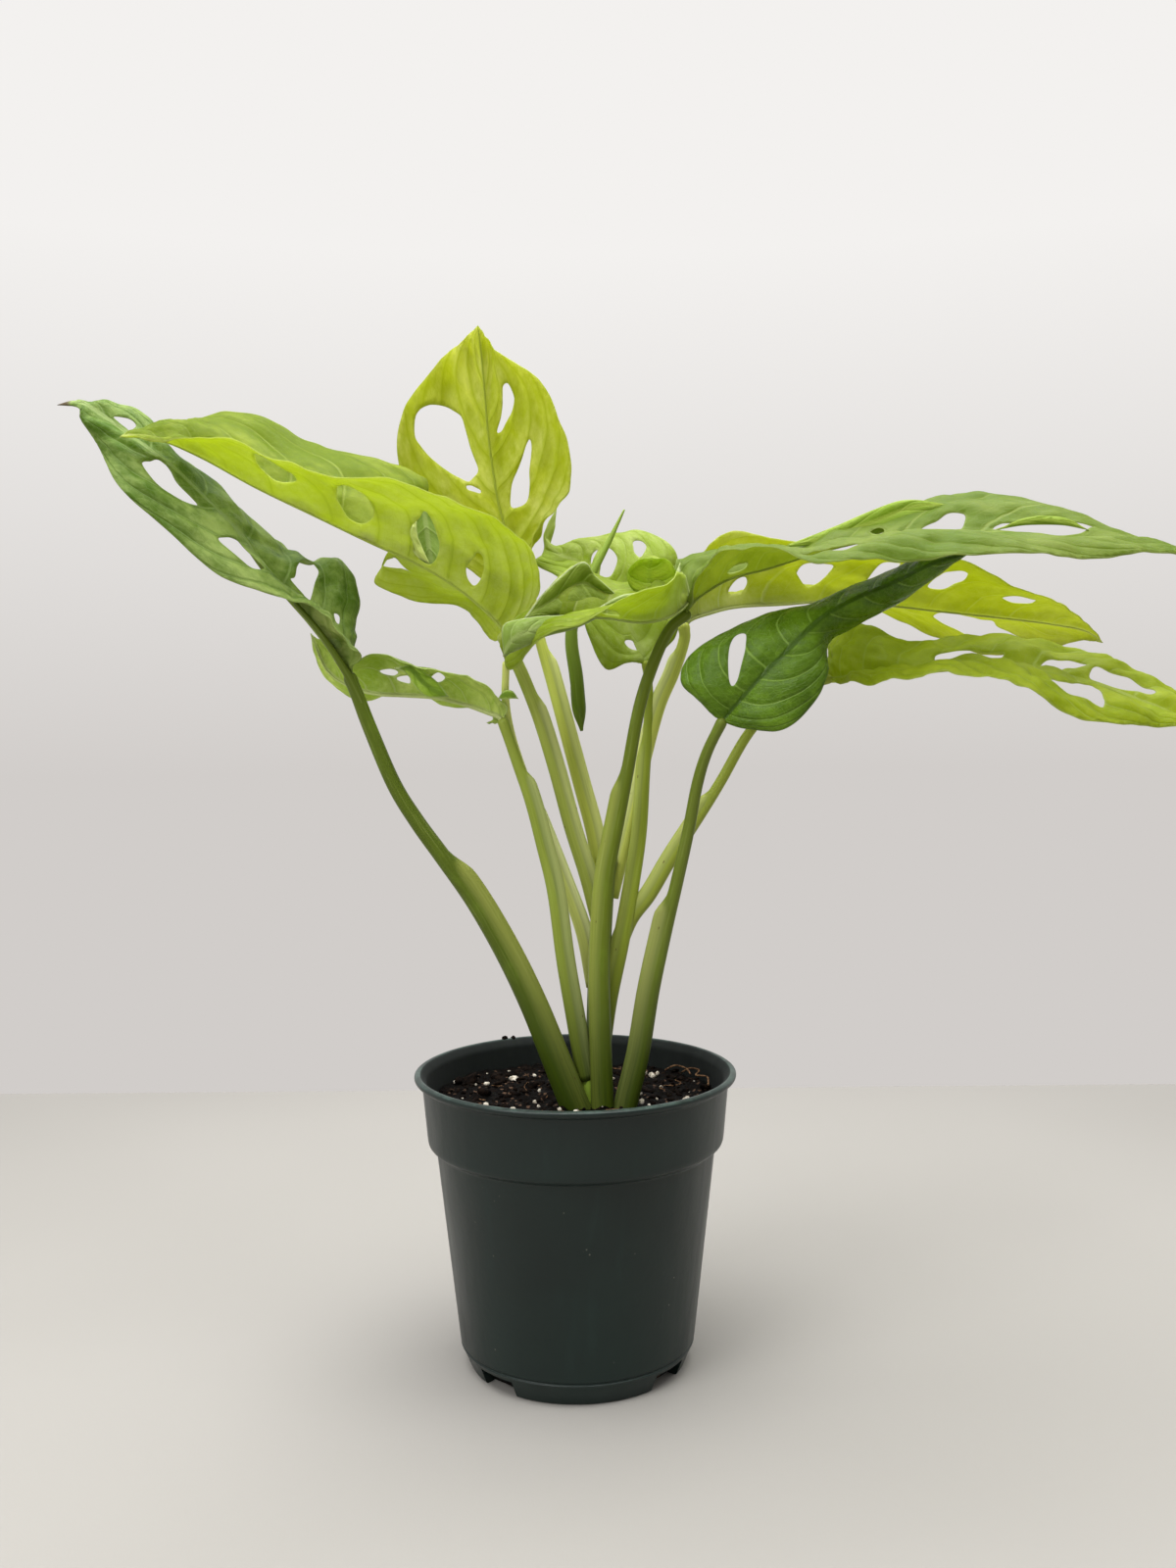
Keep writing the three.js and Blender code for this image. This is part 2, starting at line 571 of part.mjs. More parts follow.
function distanceToOutline([x, y], outline) {
  return Math.min(...outline.map(([ax, ay], i) => {
    const [bx, by] = outline[(i + 1) % outline.length];
    const [ux, uy] = [bx - ax, by - ay];
    const t = Math.min(1, Math.max(0, ((x - ax) * ux + (y - ay) * uy) / (ux * ux + uy * uy)));
    return Math.hypot(x - ax - t * ux, y - ay - t * uy);
  }));
}

// Triangles of a flat point set by the empty-circle rule
function triangulate(points) {
  const far = 1e4;
  const all = [...points, [-far, -far], [far, -far], [0, far]];
  const first = points.length;
  let triangles = [[first, first + 1, first + 2]];
  points.forEach((p, index) => {
    const rim = new Map();
    triangles = triangles.filter((corner) => {
      const [a, b, c] = corner.map((k) => [all[k][0] - p[0], all[k][1] - p[1]]);
      const square = ([x, y]) => x * x + y * y;
      const inCircle = square(a) * (b[0] * c[1] - b[1] * c[0])
        - square(b) * (a[0] * c[1] - a[1] * c[0])
        + square(c) * (a[0] * b[1] - a[1] * b[0]);
      if (inCircle <= 0) return true;
      corner.forEach((from, k) => {
        const to = corner[(k + 1) % 3];
        if (!rim.delete(`${to} ${from}`)) rim.set(`${from} ${to}`, [from, to]);
      });
      return false;
    });
    for (const [from, to] of rim.values()) triangles.push([from, to, index]);
  });
  return triangles.filter((corner) => corner.every((k) => k < first));
}

// Margin places at even steps along the flattened edge
function marginStops(blade, side) {
  const count = 400;
  const stops = [];
  let walked = 0;
  let [x, y] = [0, 0];
  for (let i = 1; i < count; i += 1) {
    const s = i / count;
    const [nx, ny] = [s * blade.length, blade.widthAt(s, side)];
    walked += Math.hypot(nx - x, ny - y);
    [x, y] = [nx, ny];
    if (walked >= marginStep && ny > 0.9) {
      stops.push(s);
      walked = 0;
    }
  }
  return stops;
}

// The places of a blade's sheet and the triangles between them: margins, hole edges, midrib,
// and staggered rows in between
function sheetOf(blade) {
  const flat = ([s, c]) => [s * blade.length, c * blade.widthAt(s, c)];
  const places = [[0, 0], [1, 0]];
  for (const side of [-1, 1]) {
    for (const s of marginStops(blade, side)) places.push([s, side]);
  }
  const edges = places.map(flat);
  const holes = blade.holes.map((ring) => holeOutline(blade, ring));
  holes.forEach((outline) => places.push(...outline));
  const flatHoles = holes.map((outline) => outline.map(flat));
  const offHoles = (p, gap) => flatHoles.every((hole) => (
    !insideOutline(p, hole) && distanceToOutline(p, hole) > gap));
  const offEdges = (p, gap) => edges.every((e) => Math.hypot(e[0] - p[0], e[1] - p[1]) > gap);
  const ribCount = Math.round(blade.length / (sheetStep * 0.8));
  for (let i = 1; i < ribCount; i += 1) {
    const p = flat([i / ribCount, 0]);
    if (offHoles(p, 1) && offEdges(p, 2)) places.push([i / ribCount, 0]);
  }
  const rowStep = sheetStep * Math.sqrt(0.75);
  const rowCount = Math.ceil(100 / rowStep);
  for (let row = -rowCount; row <= rowCount; row += 1) {
    for (let i = 1; row !== 0 && i * sheetStep < blade.length; i += 1) {
      const x = (i + (row % 2) / 2) * sheetStep;
      const y = row * rowStep;
      const s = x / blade.length;
      const width = blade.widthAt(Math.min(1, Math.max(0, s)), row);
      const inside = s > 0 && s < 1 && Math.abs(y) < width - 2.5;
      if (inside && offEdges([x, y], sheetStep * 0.45) && offHoles([x, y], sheetStep * 0.4)) {
        places.push([s, y / width]);
      }
    }
  }
  const spots = places.map(flat).map(([x, y], i) => (
    [x + 0.01 * Math.sin(i * 12.9), y + 0.01 * Math.cos(i * 78.2)]));
  const triangles = triangulate(spots).filter((corner) => {
    const middle = [0, 1].map((axis) => corner.reduce((sum, k) => sum + spots[k][axis], 0) / 3);
    const within = Math.abs(middle[1]) < blade.widthAt(middle[0] / blade.length, middle[1]);
    return within && flatHoles.every((hole) => !insideOutline(middle, hole));
  });
  return { places, triangles };
}

// A blade's sheet with its thickness; grow widens it all round for cutting its stalk
function bladeSolid(blade, grow = 0) {
  const { places, triangles } = sheetOf(blade);
  const spread = (s, c) => c * (1 + grow / Math.max(1, blade.widthAt(s, c)));
  const middle = places.map(([s, c]) => blade.place(s, spread(s, c)));
  const normals = middle.map(() => new THREE.Vector3());
  for (const [a, b, c] of triangles) {
    const normal = middle[b].clone().sub(middle[a]).cross(middle[c].clone().sub(middle[a]));
    for (const corner of [a, b, c]) normals[corner].add(normal);
  }
  const half = places.map(([s, c]) => (
    (c === 0 ? ribThickness + (bladeThickness - ribThickness) * s : bladeThickness) / 2 + grow));
  const upper = middle.map((p, i) => p.clone().addScaledVector(normals[i].normalize(), half[i]));
  const lower = middle.map((p, i) => p.clone().addScaledVector(normals[i], -half[i]));
  const count = middle.length;
  const rim = new Map();
  const faces = [];
  for (const corner of triangles) {
    faces.push(corner, corner.map((k) => k + count).reverse());
    corner.forEach((from, k) => {
      const to = corner[(k + 1) % 3];
      if (!rim.delete(`${to} ${from}`)) rim.set(`${from} ${to}`, [from, to]);
    });
  }
  for (const [from, to] of rim.values()) {
    faces.push([to, from, from + count], [to, from + count, to + count]);
  }
  return solidFrom([...upper, ...lower], faces);
}

// Pot: one thin moulding with a collar band, a rolled lip and four drain notches in its foot
function makePot() {
  const lipFoot = potHeight - potLipDrop;
  const profile = [
    [0, 0],
    [potFootRadius, 0],
    [potGrooveRadius - 0.4, potGrooveHeight - 1],
    [potGrooveRadius - potGrooveDepth, potGrooveHeight],
    [potGrooveRadius, potGrooveHeight + 1],
    [potBodyRadius, potBandFoot - potBandStep - 1],
    [potBodyRadius + potBandStep - 1, potBandFoot - potBandStep + 1],
    [potBodyRadius + potBandStep, potBandFoot],
    [potBandRadius, lipFoot - 1],
    [potRimRadius - potLipRound / 2, lipFoot],
    [potRimRadius, lipFoot + potLipRound / 2],
    [potRimRadius, potHeight - potLipRound / 2],
    [potRimRadius - potLipRound, potHeight],
    [potRimRadius - 2 * potLipRound, potHeight - 0.5],
    ...potInside().reverse(),
  ];
  const outline = profile.map(([r, z]) => new THREE.Vector2(r, z));
  let pot = solidFromGeometry(new THREE.LatheGeometry(outline, potSides).rotateX(Math.PI / 2));
  for (const angle of notchAngles) {
    const notch = new THREE.BoxGeometry(notchWidth, notchDepth, 2 * notchHeight);
    notch.translate(0, -potFootRadius - 2, 0);
    notch.rotateZ(THREE.MathUtils.degToRad(angle));
    pot = pot.subtract(solidFromGeometry(notch));
  }
  return pot;
}

// The pot's inside from the middle of its floor up to the lip
function potInside() {
  return [
    [0, potFloor],
    [potFootRadius - potWall + 1, potFloor],
    [potGrooveRadius - potWall, potGrooveHeight + 1],
    [potBodyRadius - potWall, potBandFoot - potBandStep],
    [potBodyRadius + potBandStep - potWall, potBandFoot],
    [potBandRadius - potWall, potHeight - potLipDrop - 1],
  ];
}

// Soil: fills the pot to soilLevel, lumpy on top, with pale perlite grains sunk into it
function makeSoil() {
  const inside = potInside();
  const [low, high] = inside.slice(-2);
  const share = (soilLevel - low[1]) / (high[1] - low[1]);
  const edge = low[0] + (high[0] - low[0]) * share - clearance;
  const bottom = potFloor + clearance;
  const walls = inside.slice(1, -1).map(([r, z]) => [r - clearance, Math.max(z, bottom), 0]);
  const rings = [...walls, [edge, soilLevel - 2, 0]];
  for (const part of soilRings) rings.push([edge * part, soilLevel, soilLump]);
  const points = [];
  for (const [radius, height, lump] of rings) {
    for (let i = 0; i < potSides; i += 1) {
      const angle = (i / potSides) * 2 * Math.PI;
      const [x, y] = [radius * Math.cos(angle), radius * Math.sin(angle)];
      const broad = Math.sin(x * 0.31 + y * 0.12) * Math.cos(y * 0.27 - x * 0.08);
      const fine = 0.6 * Math.sin(x * 0.73 - y * 0.61);
      points.push(new THREE.Vector3(x, y, height + lump * (broad + fine)));
    }
  }
  const ends = [new THREE.Vector3(0, 0, bottom), new THREE.Vector3(0, 0, soilLevel)];
  let soil = tubeFrom(points, potSides, ends);
  const random = makeRandom(7);
  const drawBetween = ([least, most], draw) => least + (most - least) * draw;
  for (let i = 0; i < perliteCount; i += 1) {
    const angle = random() * 2 * Math.PI;
    const radius = drawBetween(perliteReach, Math.sqrt(random()));
    const size = drawBetween(perliteSize, random());
    const grain = new THREE.IcosahedronGeometry(size, 0).rotateX(random() * 3);
    grain.translate(radius * Math.cos(angle), radius * Math.sin(angle), soilLevel);
    soil = soil.add(solidFromGeometry(grain));
  }
  return soil;
}

// Putting the plant together. The stem has a swollen crown beside it at soil level. Each stalk is
// cut by the ones already placed, so that the sheaths clasp the stem with the clearance between
// them, and the stalk's top is cut by its own blade.
const stem = {
  path: [[11, -8, 100], [11, -7, 126], [11, -5, 158], [12, -3, 190], [14, -1, 217], [16, 0, 236]],
  foot: 6.6, top: 4.2,
};
const crown = {
  path: [[5, -13, 100], [5, -12, 118], [5.5, -11, 132], [7, -10, 141]],
  foot: 7, top: 5.5,
};
const spear = {
  path: [
    [4, 3, 288], [3, 1, 307], [2, -1, 324], [0, -4, 340], [2, -6, 353], [10, -7, 371], [18, -7, 386],
    [25, -8, 400],
  ],
  foot: 3.4, top: 0.5,
};
const petioleColor = 0x7a9438;
const placed = [];

function placeStalk(name, shapes, color, blade) {
  const joined = (grow) => wasm.Manifold.union(shapes.map((shape) => stalk(shape, grow)));
  let body = joined(0);
  for (const other of placed) body = body.subtract(other);
  if (blade) {
    const socket = new THREE.IcosahedronGeometry(ribThickness / 2 + clearance, 1);
    body = body.subtract(bladeSolid(blade)).subtract(bladeSolid(blade, clearance));
    body = body.subtract(solidFromGeometry(socket.translate(...blade.rib.points[0])));
  }
  placed.push(joined(clearance));
  addPiece(name, largestPiece(body), color, 0.5);
}

const byName = new Map(leaves.map((leaf) => [leaf.name, leaf]));
const frontStalks = ['leaf_upper_right', 'leaf_far_left', 'leaf_glossy'];
const otherStalks = [
  'leaf_low_left', 'leaf_back_centre', 'leaf_curled', 'leaf_long_front', 'leaf_low_right', 'leaf_top',
  'leaf_lime_right',
];
const blades = new Map(leaves.map((leaf) => [leaf.name, makeBlade(leaf)]));
const placeLeafStalk = (name) => {
  const { stalk: shape } = byName.get(name);
  placeStalk(name.replace('leaf', 'petiole'), [shape], petioleColor, blades.get(name));
};
frontStalks.forEach(placeLeafStalk);
placeStalk('stem', [stem, crown], petioleColor);
otherStalks.forEach(placeLeafStalk);
placeStalk('new_leaf', [spear], 0x4f7a2c);
for (const leaf of leaves) addPiece(leaf.name, bladeSolid(blades.get(leaf.name)), leaf.color, 0.45);
addPiece('pot', makePot(), 0x24352f, 0.45);
addPiece('soil', placed.reduce((body, other) => body.subtract(other), makeSoil()), 0x1f1713, 0.95);

export default plant;
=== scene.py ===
import math
import random

import bmesh
import bpy
import numpy as np
from mathutils import Matrix, Vector, noise
from mathutils.geometry import delaunay_2d_cdt


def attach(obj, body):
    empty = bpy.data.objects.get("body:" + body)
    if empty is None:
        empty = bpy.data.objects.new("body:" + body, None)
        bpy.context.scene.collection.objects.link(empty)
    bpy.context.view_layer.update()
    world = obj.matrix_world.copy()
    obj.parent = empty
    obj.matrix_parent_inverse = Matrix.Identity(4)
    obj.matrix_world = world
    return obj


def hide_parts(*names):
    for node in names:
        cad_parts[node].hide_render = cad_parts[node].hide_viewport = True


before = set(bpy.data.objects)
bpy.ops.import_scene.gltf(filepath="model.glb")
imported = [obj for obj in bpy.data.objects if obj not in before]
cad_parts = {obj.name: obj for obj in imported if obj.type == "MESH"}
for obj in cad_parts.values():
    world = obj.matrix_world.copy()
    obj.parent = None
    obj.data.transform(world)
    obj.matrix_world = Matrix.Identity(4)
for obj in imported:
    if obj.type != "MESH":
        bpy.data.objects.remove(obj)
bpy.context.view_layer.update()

# Camera: level with the leaves, looking slightly down on the pot from the front.
# The frame is 1200 wide and 1600 high, and the focal length is in pixels of its height.
frame_height = 1600
focal_pixels = 1415
sensor_height = 36
camera_place = (0.00715, -0.653, 0.299)
camera_data = bpy.data.cameras.new("camera")
camera_data.sensor_fit = "VERTICAL"
camera_data.sensor_height = sensor_height
camera_data.lens = sensor_height * focal_pixels / frame_height
camera_data.clip_start = 0.02
camera = bpy.data.objects.new("camera", camera_data)
look_down = 0.0398
leaning = -0.0084
turn = Matrix.Rotation(math.pi / 2 - look_down, 4, "X") @ Matrix.Rotation(leaning, 4, "Z")
camera.matrix_world = Matrix.Translation(camera_place) @ turn
bpy.context.scene.collection.objects.link(camera)
bpy.context.scene.camera = camera


# Studio: a plain pale table, a pale surround painted lighter upward as light falls on a wall, and
# soft light from above.
# The table ends behind the pot, where its far edge meets the surround.
class Socket:
    """A shader socket that +, - and * work on."""

    def __init__(self, finish, socket):
        self.finish = finish
        self.socket = socket

    def __add__(self, other):
        return self.finish.math("ADD", self, other)

    def __sub__(self, other):
        return self.finish.math("SUBTRACT", self, other)

    def __rsub__(self, other):
        return self.finish.math("SUBTRACT", other, self)

    def __mul__(self, other):
        return self.finish.math("MULTIPLY", self, other)


class Finish:
    """A material or a world being made: node() adds any node, the rest are shorthands for it."""

    def __init__(self, name, kind=bpy.data.materials):
        self.made = kind.new(name)
        self.made.use_nodes = True
        self.tree = self.made.node_tree
        self.tree.nodes.clear()

    def node(self, kind, inputs=None, output=0, stops=None, **settings):
        made = self.tree.nodes.new(kind)
        for name, value in settings.items():
            setattr(made, name, value)
        if stops:
            ramp = made.color_ramp
            while len(ramp.elements) < len(stops):
                ramp.elements.new(0.5)
            for element, (place, color) in zip(ramp.elements, stops):
                element.position = place
                element.color = rgb(color)
        for name, value in (inputs or {}).items():
            if isinstance(value, Socket):
                self.tree.links.new(value.socket, made.inputs[name])
            else:
                made.inputs[name].default_value = rgb(value) if isinstance(value, str) else value
        return Socket(self, made.outputs[output])

    def math(self, operation, *values):
        return self.node("ShaderNodeMath", dict(enumerate(values)), operation=operation)

    def place(self):
        return self.node("ShaderNodeTexCoord", output="Object")

    def stretched(self, vector, scale):
        return self.node("ShaderNodeVectorMath", {0: vector, 1: scale}, operation="MULTIPLY")

    def part(self, vector, axis):
        return self.node("ShaderNodeSeparateXYZ", {0: vector}, output=axis)

    def written(self, name, output="Fac"):
        return self.node("ShaderNodeAttribute", output=output, attribute_name=name)

    def grain(self, vector, scale, detail=3, roughness=0.55):
        settings = {"Vector": vector, "Scale": scale, "Detail": detail, "Roughness": roughness}
        return self.node("ShaderNodeTexNoise", settings)

    def cells(self, vector, scale, feature="F1", output="Distance"):
        inputs = {"Vector": vector, "Scale": scale}
        return self.node("ShaderNodeTexVoronoi", inputs, output=output, feature=feature)

    def rise(self, value, low, high, start=0.0, end=1.0):
        inputs = {0: value, 1: low, 2: high, 3: start, 4: end}
        return self.node("ShaderNodeMapRange", inputs, interpolation_type="SMOOTHSTEP")

    def tint(self, first, second, share):
        inputs = {0: share, 6: first, 7: second}
        return self.node("ShaderNodeMix", inputs, output=2, data_type="RGBA")

    def bump(self, height, strength, distance):
        inputs = {"Height": height, "Strength": strength, "Distance": distance}
        return self.node("ShaderNodeBump", inputs)

    def skin(self, color, roughness, specular, normal):
        inputs = {"Base Color": color, "Roughness": roughness, "Specular IOR Level": specular}
        return self.node("ShaderNodeBsdfPrincipled", inputs | {"Normal": normal})

    def lit_through(self, shader, color, share):
        glow = self.node("ShaderNodeBsdfTranslucent", {"Color": color})
        return self.node("ShaderNodeMixShader", {0: share, 1: shader, 2: glow})

    def surface(self, shader, output="ShaderNodeOutputMaterial"):
        out = self.tree.nodes.new(output)
        self.tree.links.new(shader.socket, out.inputs["Surface"])
        return self.made


def rgb(code):
    """A linear colour with alpha from a web colour code."""
    parts = [int(code[i:i + 2], 16) / 255 for i in (1, 3, 5)]
    return tuple(p / 12.92 if p <= 0.04045 else ((p + 0.055) / 1.055) ** 2.4 for p in parts) + (1,)


def object_from(bm, name, material, smooth=True):
    mesh = bpy.data.meshes.new(name)
    for face in bm.faces:
        face.smooth = smooth
    bm.to_mesh(mesh)
    bm.free()
    mesh.materials.append(material)
    made = bpy.data.objects.new(name, mesh)
    bpy.context.scene.collection.objects.link(made)
    return made


def paper_finish():
    finish = Finish("pale_paper")
    fibre = finish.grain(finish.place(), 900, 2)
    cloud = finish.grain(finish.place(), 2, 2)
    color = finish.tint("#a5a29d", "#a09d98", finish.rise(cloud, 0.3, 0.7))
    color = finish.tint(color, "#95928d", fibre * 0.12)
    return finish.surface(finish.skin(color, 0.85, 0.5, finish.bump(fibre, 0.15, 0.0003)))


table_front, table_back, table_side, table_thick = -1.6, 0.488, 1.8, 0.02
table_size = (2 * table_side, table_back - table_front, table_thick)
table_middle = (0, (table_back + table_front) / 2, -table_thick / 2)
bm = bmesh.new()
bmesh.ops.create_cube(bm, size=1)
bmesh.ops.scale(bm, vec=table_size, verts=bm.verts)
bmesh.ops.translate(bm, vec=table_middle, verts=bm.verts)
object_from(bm, "table", paper_finish(), smooth=False)

sky = Finish("surround", bpy.data.worlds)
# Painted light: the backdrop the camera sees is graded lighter upward, as light falls on the wall
# behind.
direction = sky.node("ShaderNodeTexCoord", output="Generated")
upward = sky.node("ShaderNodeMapRange", {0: sky.part(direction, "Z"), 1: -0.03, 2: 0.32})
backdrop = sky.tint("#d1cdca", "#f3f1ef", upward)
seen = sky.node("ShaderNodeBackground", {"Color": backdrop})
from_behind = {0: sky.part(direction, "Y"), 1: -0.7, 2: 0.8, 3: 0.4, 4: 0.8}
strength = sky.node("ShaderNodeMapRange", from_behind)
lighting = sky.node("ShaderNodeBackground", {"Color": "#fffdfa", "Strength": strength})
camera_ray = sky.node("ShaderNodeLightPath", output="Is Camera Ray")
surround = sky.node("ShaderNodeMixShader", {0: camera_ray, 1: lighting, 2: seen})
bpy.context.scene.world = sky.surface(surround, "ShaderNodeOutputWorld")
bpy.context.scene.view_settings.view_transform = "Standard"


def soft_light(name, place, target, size, power):
    data = bpy.data.lights.new(name, "AREA")
    data.shape = "RECTANGLE"
    data.size, data.size_y = size
    data.energy = power
    light = bpy.data.objects.new(name, data)
    aim = (Vector(target) - Vector(place)).to_track_quat("-Z", "Y")
    light.matrix_world = Matrix.Translation(place) @ aim.to_matrix().to_4x4()
    bpy.context.scene.collection.objects.link(light)


soft_light("overhead", (0.05, -0.1, 1.15), (0, 0, 0.2), (1.4, 1.1), 25)
soft_light("front_left", (-1.2, -1.2, 1.1), (0, 0, 0.25), (0.9, 0.9), 15)


# Pot: one thin moulding in very dark green plastic, tapered, with a collar band and a rolled lip.
# Its profile is spun round the axis, and the drain notches are cut from its foot.
def spun(bm, profile, steps):
    """Spins an outline of (radius, height), which starts and ends on the upright axis."""
    verts = [bm.verts.new((radius, 0, height)) for radius, height in profile]
    edges = [bm.edges.new(pair) for pair in zip(verts, verts[1:])]
    bmesh.ops.spin(bm, geom=verts + edges, cent=(0, 0, 0), axis=(0, 0, 1), angle=2 * math.pi,
                   steps=steps, use_merge=True)
    bmesh.ops.remove_doubles(bm, verts=bm.verts, dist=1e-6)
    bmesh.ops.recalc_face_normals(bm, faces=bm.faces)


def rounded(corners, radius):
    """The outline with each inner corner rounded off by four points."""
    outline = [corners[0]]
    for before, corner, after in zip(corners, corners[1:], corners[2:]):
        corner = Vector(corner)
        toward = [Vector(end) - corner for end in (before, after)]
        cut = min(radius, *(side.length * 0.45 for side in toward))
        start, end = [corner + side.normalized() * cut for side in toward]
        for t in (0, 1 / 3, 2 / 3, 1):
            outline.append(tuple(start * (1 - t) ** 2 + corner * 2 * t * (1 - t) + end * t ** 2))
    return outline + [corners[-1]]


def pot_finish():
    finish = Finish("dark_green_plastic")
    place = finish.place()
    height = finish.part(place, "Z")
    cloud = finish.grain(place, 9, 4)
    streak = finish.grain(finish.stretched(place, (60, 60, 9)), 1, 4, 0.7)
    speck = finish.cells(place, 190)
    dust = finish.rise(speck, 0.10, 0.04) * finish.rise(finish.grain(place, 40, 2), 0.6, 0.66)
    color = finish.tint("#0c1916", "#122420", finish.rise(cloud, 0.3, 0.75))
    color = finish.tint(color, "#203430", finish.rise(streak, 0.55, 0.8) * 0.3)
    # Painted highlight: the rolled lip is tinted a lighter teal, in patches set by noise.
    lip = finish.rise(height, pot_height - 0.0014, pot_height - 0.0004)
    lip_highlight_patches = finish.rise(finish.grain(place, 120, 3), 0.4, 0.65)
    color = finish.tint(color, "#4a625a", lip * (lip_highlight_patches * 0.35 + 0.1))
    color = finish.tint(color, "#8f8b7d", dust * 0.35)
    # Painted shade: the inner wall above the soil and the inside of the rim are darkened, and made
    # rougher.
    radius = finish.node("ShaderNodeVectorMath", {0: finish.stretched(place, (1, 1, 0))},
                         output="Value", operation="LENGTH")
    bore_shade = finish.rise(radius - height * 0.085, 0.0602, 0.0598) * finish.rise(height, 0.110, 0.114)
    funnel_shade = finish.rise(radius, 0.0735, 0.0729) * finish.rise(height, 0.1350, 0.1356)
    inside = finish.math("MAXIMUM", bore_shade, funnel_shade)
    color = finish.tint(color, "#070d0b", inside * 0.85)
    roughness = finish.rise(streak, 0.3, 0.8, 0.34, 0.5) + inside * 0.45
    normal = finish.bump(finish.grain(place, 420, 2) + dust * 3, 0.12, 0.0004)
    return finish.surface(finish.skin(color, roughness, 0.34, normal))


pot_height = 0.138
pot_wall = 0.0019
lip_radius = 0.076
foot_radius = 0.051
outside = [
    (0, 0.0006), (foot_radius - 0.006, 0.0006), (foot_radius - 0.004, 0), (foot_radius, 0),
    (0.0551, 0.0098), (0.0556, 0.0103), (0.0549, 0.0108), (0.0549, 0.0114), (0.0557, 0.0119),
    (0.0660, 0.1030), (0.0695, 0.1052), (0.0700, 0.1072), (0.0724, 0.1338), (0.0752, 0.1348),
    (lip_radius, 0.1358), (lip_radius, 0.1371), (0.0744, pot_height), (0.0728, 0.1376),
]
inside = [
    (0.0722 - pot_wall, 0.1345), (0.0700 - pot_wall, 0.1075), (0.0660 - pot_wall, 0.1035),
    (0.0557 - pot_wall, 0.0119), (foot_radius - pot_wall, 0.003), (0, 0.003),
]
bm = bmesh.new()
spun(bm, rounded(outside + inside, 0.0012), 144)
pot = object_from(bm, "moulded_pot", pot_finish())

notch_angles = (-43, 52, 137, 232)
notch_size = (0.020, 0.016, 0.0164)
bm = bmesh.new()
for angle in notch_angles:
    made = bmesh.ops.create_cube(bm, size=1)["verts"]
    bmesh.ops.scale(bm, vec=notch_size, verts=made)
    bmesh.ops.translate(bm, vec=(0, -foot_radius - 0.002, 0), verts=made)
    turn = Matrix.Rotation(math.radians(angle), 3, "Z")
    bmesh.ops.rotate(bm, cent=(0, 0, 0), matrix=turn, verts=made)
cutter = object_from(bm, "notch_cutter", pot.data.materials[0], smooth=False)
cut = pot.modifiers.new("notches", "BOOLEAN")
cut.operation = "DIFFERENCE"
cut.object = cutter
notched = pot.evaluated_get(bpy.context.evaluated_depsgraph_get())
pot.data = bpy.data.meshes.new_from_object(notched)
pot.modifiers.clear()
bpy.data.objects.remove(cutter)
pot.data.set_sharp_from_angle(angle=math.radians(50))
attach(pot, "root")
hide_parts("pot")


# Soil: dark damp potting mix, lumpy on top, poured in to a little below the lip.
# The body is a spun profile whose top is pushed up and down by noise.
def soil_height(x, y):
    near = Vector((x, y, 0))
    coarse = noise.noise(near * 70)
    clods = noise.noise(near * 190 + Vector((3, 1, 7)))
    crumbs = noise.noise(near * 480 + Vector((9, 4, 2)))
    return 0.0020 * coarse + 0.0016 * clods + 0.0009 * crumbs


def soil_finish():
    finish = Finish("potting_mix")
    place = finish.place()
    cloud = finish.grain(place, 160, 5, 0.7)
    fleck = finish.cells(place, 700, output="Color")
    stops = ((0.3, "#020201"), (0.5, "#050302"), (0.62, "#0e0906"), (0.78, "#2c2018"))
    color = finish.node("ShaderNodeValToRGB", {0: cloud}, stops=stops)
    shade = finish.node("ShaderNodeSeparateColor", {0: fleck})
    color = finish.tint(color, "#6d5443", finish.rise(shade, 0.94, 0.98) * 0.6)
    roughness = finish.rise(cloud, 0.4, 0.7, 0.6, 0.95)
    normal = finish.bump(cloud + finish.grain(place, 900, 3), 0.9, 0.0012)
    return finish.surface(finish.skin(color, roughness, 0.05, normal))


soil_level = 0.124
soil_reach = 0.0692
walls = [(0.0, 0.0033), (0.0490, 0.0033), (0.0532, 0.0120), (0.0637, 0.1037),
         (soil_reach, soil_level - 0.002)]
rings = [(soil_reach * share, soil_level) for share in np.linspace(0.985, 0.02, 52)]
bm = bmesh.new()
spun(bm, walls + rings + [(0, soil_level)], 150)
for vert in bm.verts:
    if vert.co.z > soil_level - 0.0005:
        vert.co.z += soil_height(vert.co.x, vert.co.y)
soil = object_from(bm, "potting_mix", soil_finish())
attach(soil, "root")
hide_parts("soil")


# Bark crumbs, peat clods, perlite grains and root fibres lying on the soil.
# Each is a small lumpy ball or a thin bent strand, scattered by a seeded draw.
def add_to(whole, part):
    """Moves a small piece's mesh into the mesh of the whole."""
    mesh = bpy.data.meshes.new("part")
    part.to_mesh(mesh)
    part.free()
    whole.from_mesh(mesh)
    bpy.data.meshes.remove(mesh)


def lumpy_ball(whole, place, size, flat, lump, draw):
    """A rough grain about size across, pressed flat by a share and knocked about by noise."""
    bm = bmesh.new()
    made = bmesh.ops.create_icosphere(bm, subdivisions=2, radius=size / 2)["verts"]
    away = Vector((draw.random(), draw.random(), draw.random())) * 40
    for vert in made:
        vert.co *= 1 + lump * noise.noise(vert.co * (1.6 / size) + away)
    bmesh.ops.scale(bm, vec=(draw.uniform(0.8, 1.5), draw.uniform(0.7, 1.1), flat), verts=made)
    spin = Matrix.Rotation(draw.uniform(0, 2 * math.pi), 3, "Z")
    tilt = Matrix.Rotation(draw.uniform(-0.6, 0.6), 3, "X")
    bmesh.ops.rotate(bm, cent=(0, 0, 0), matrix=spin @ tilt, verts=made)
    bmesh.ops.translate(bm, vec=place, verts=made)
    add_to(whole, bm)


def on_soil(x, y, above):
    return Vector((x, y, soil_level + soil_height(x, y) + above))


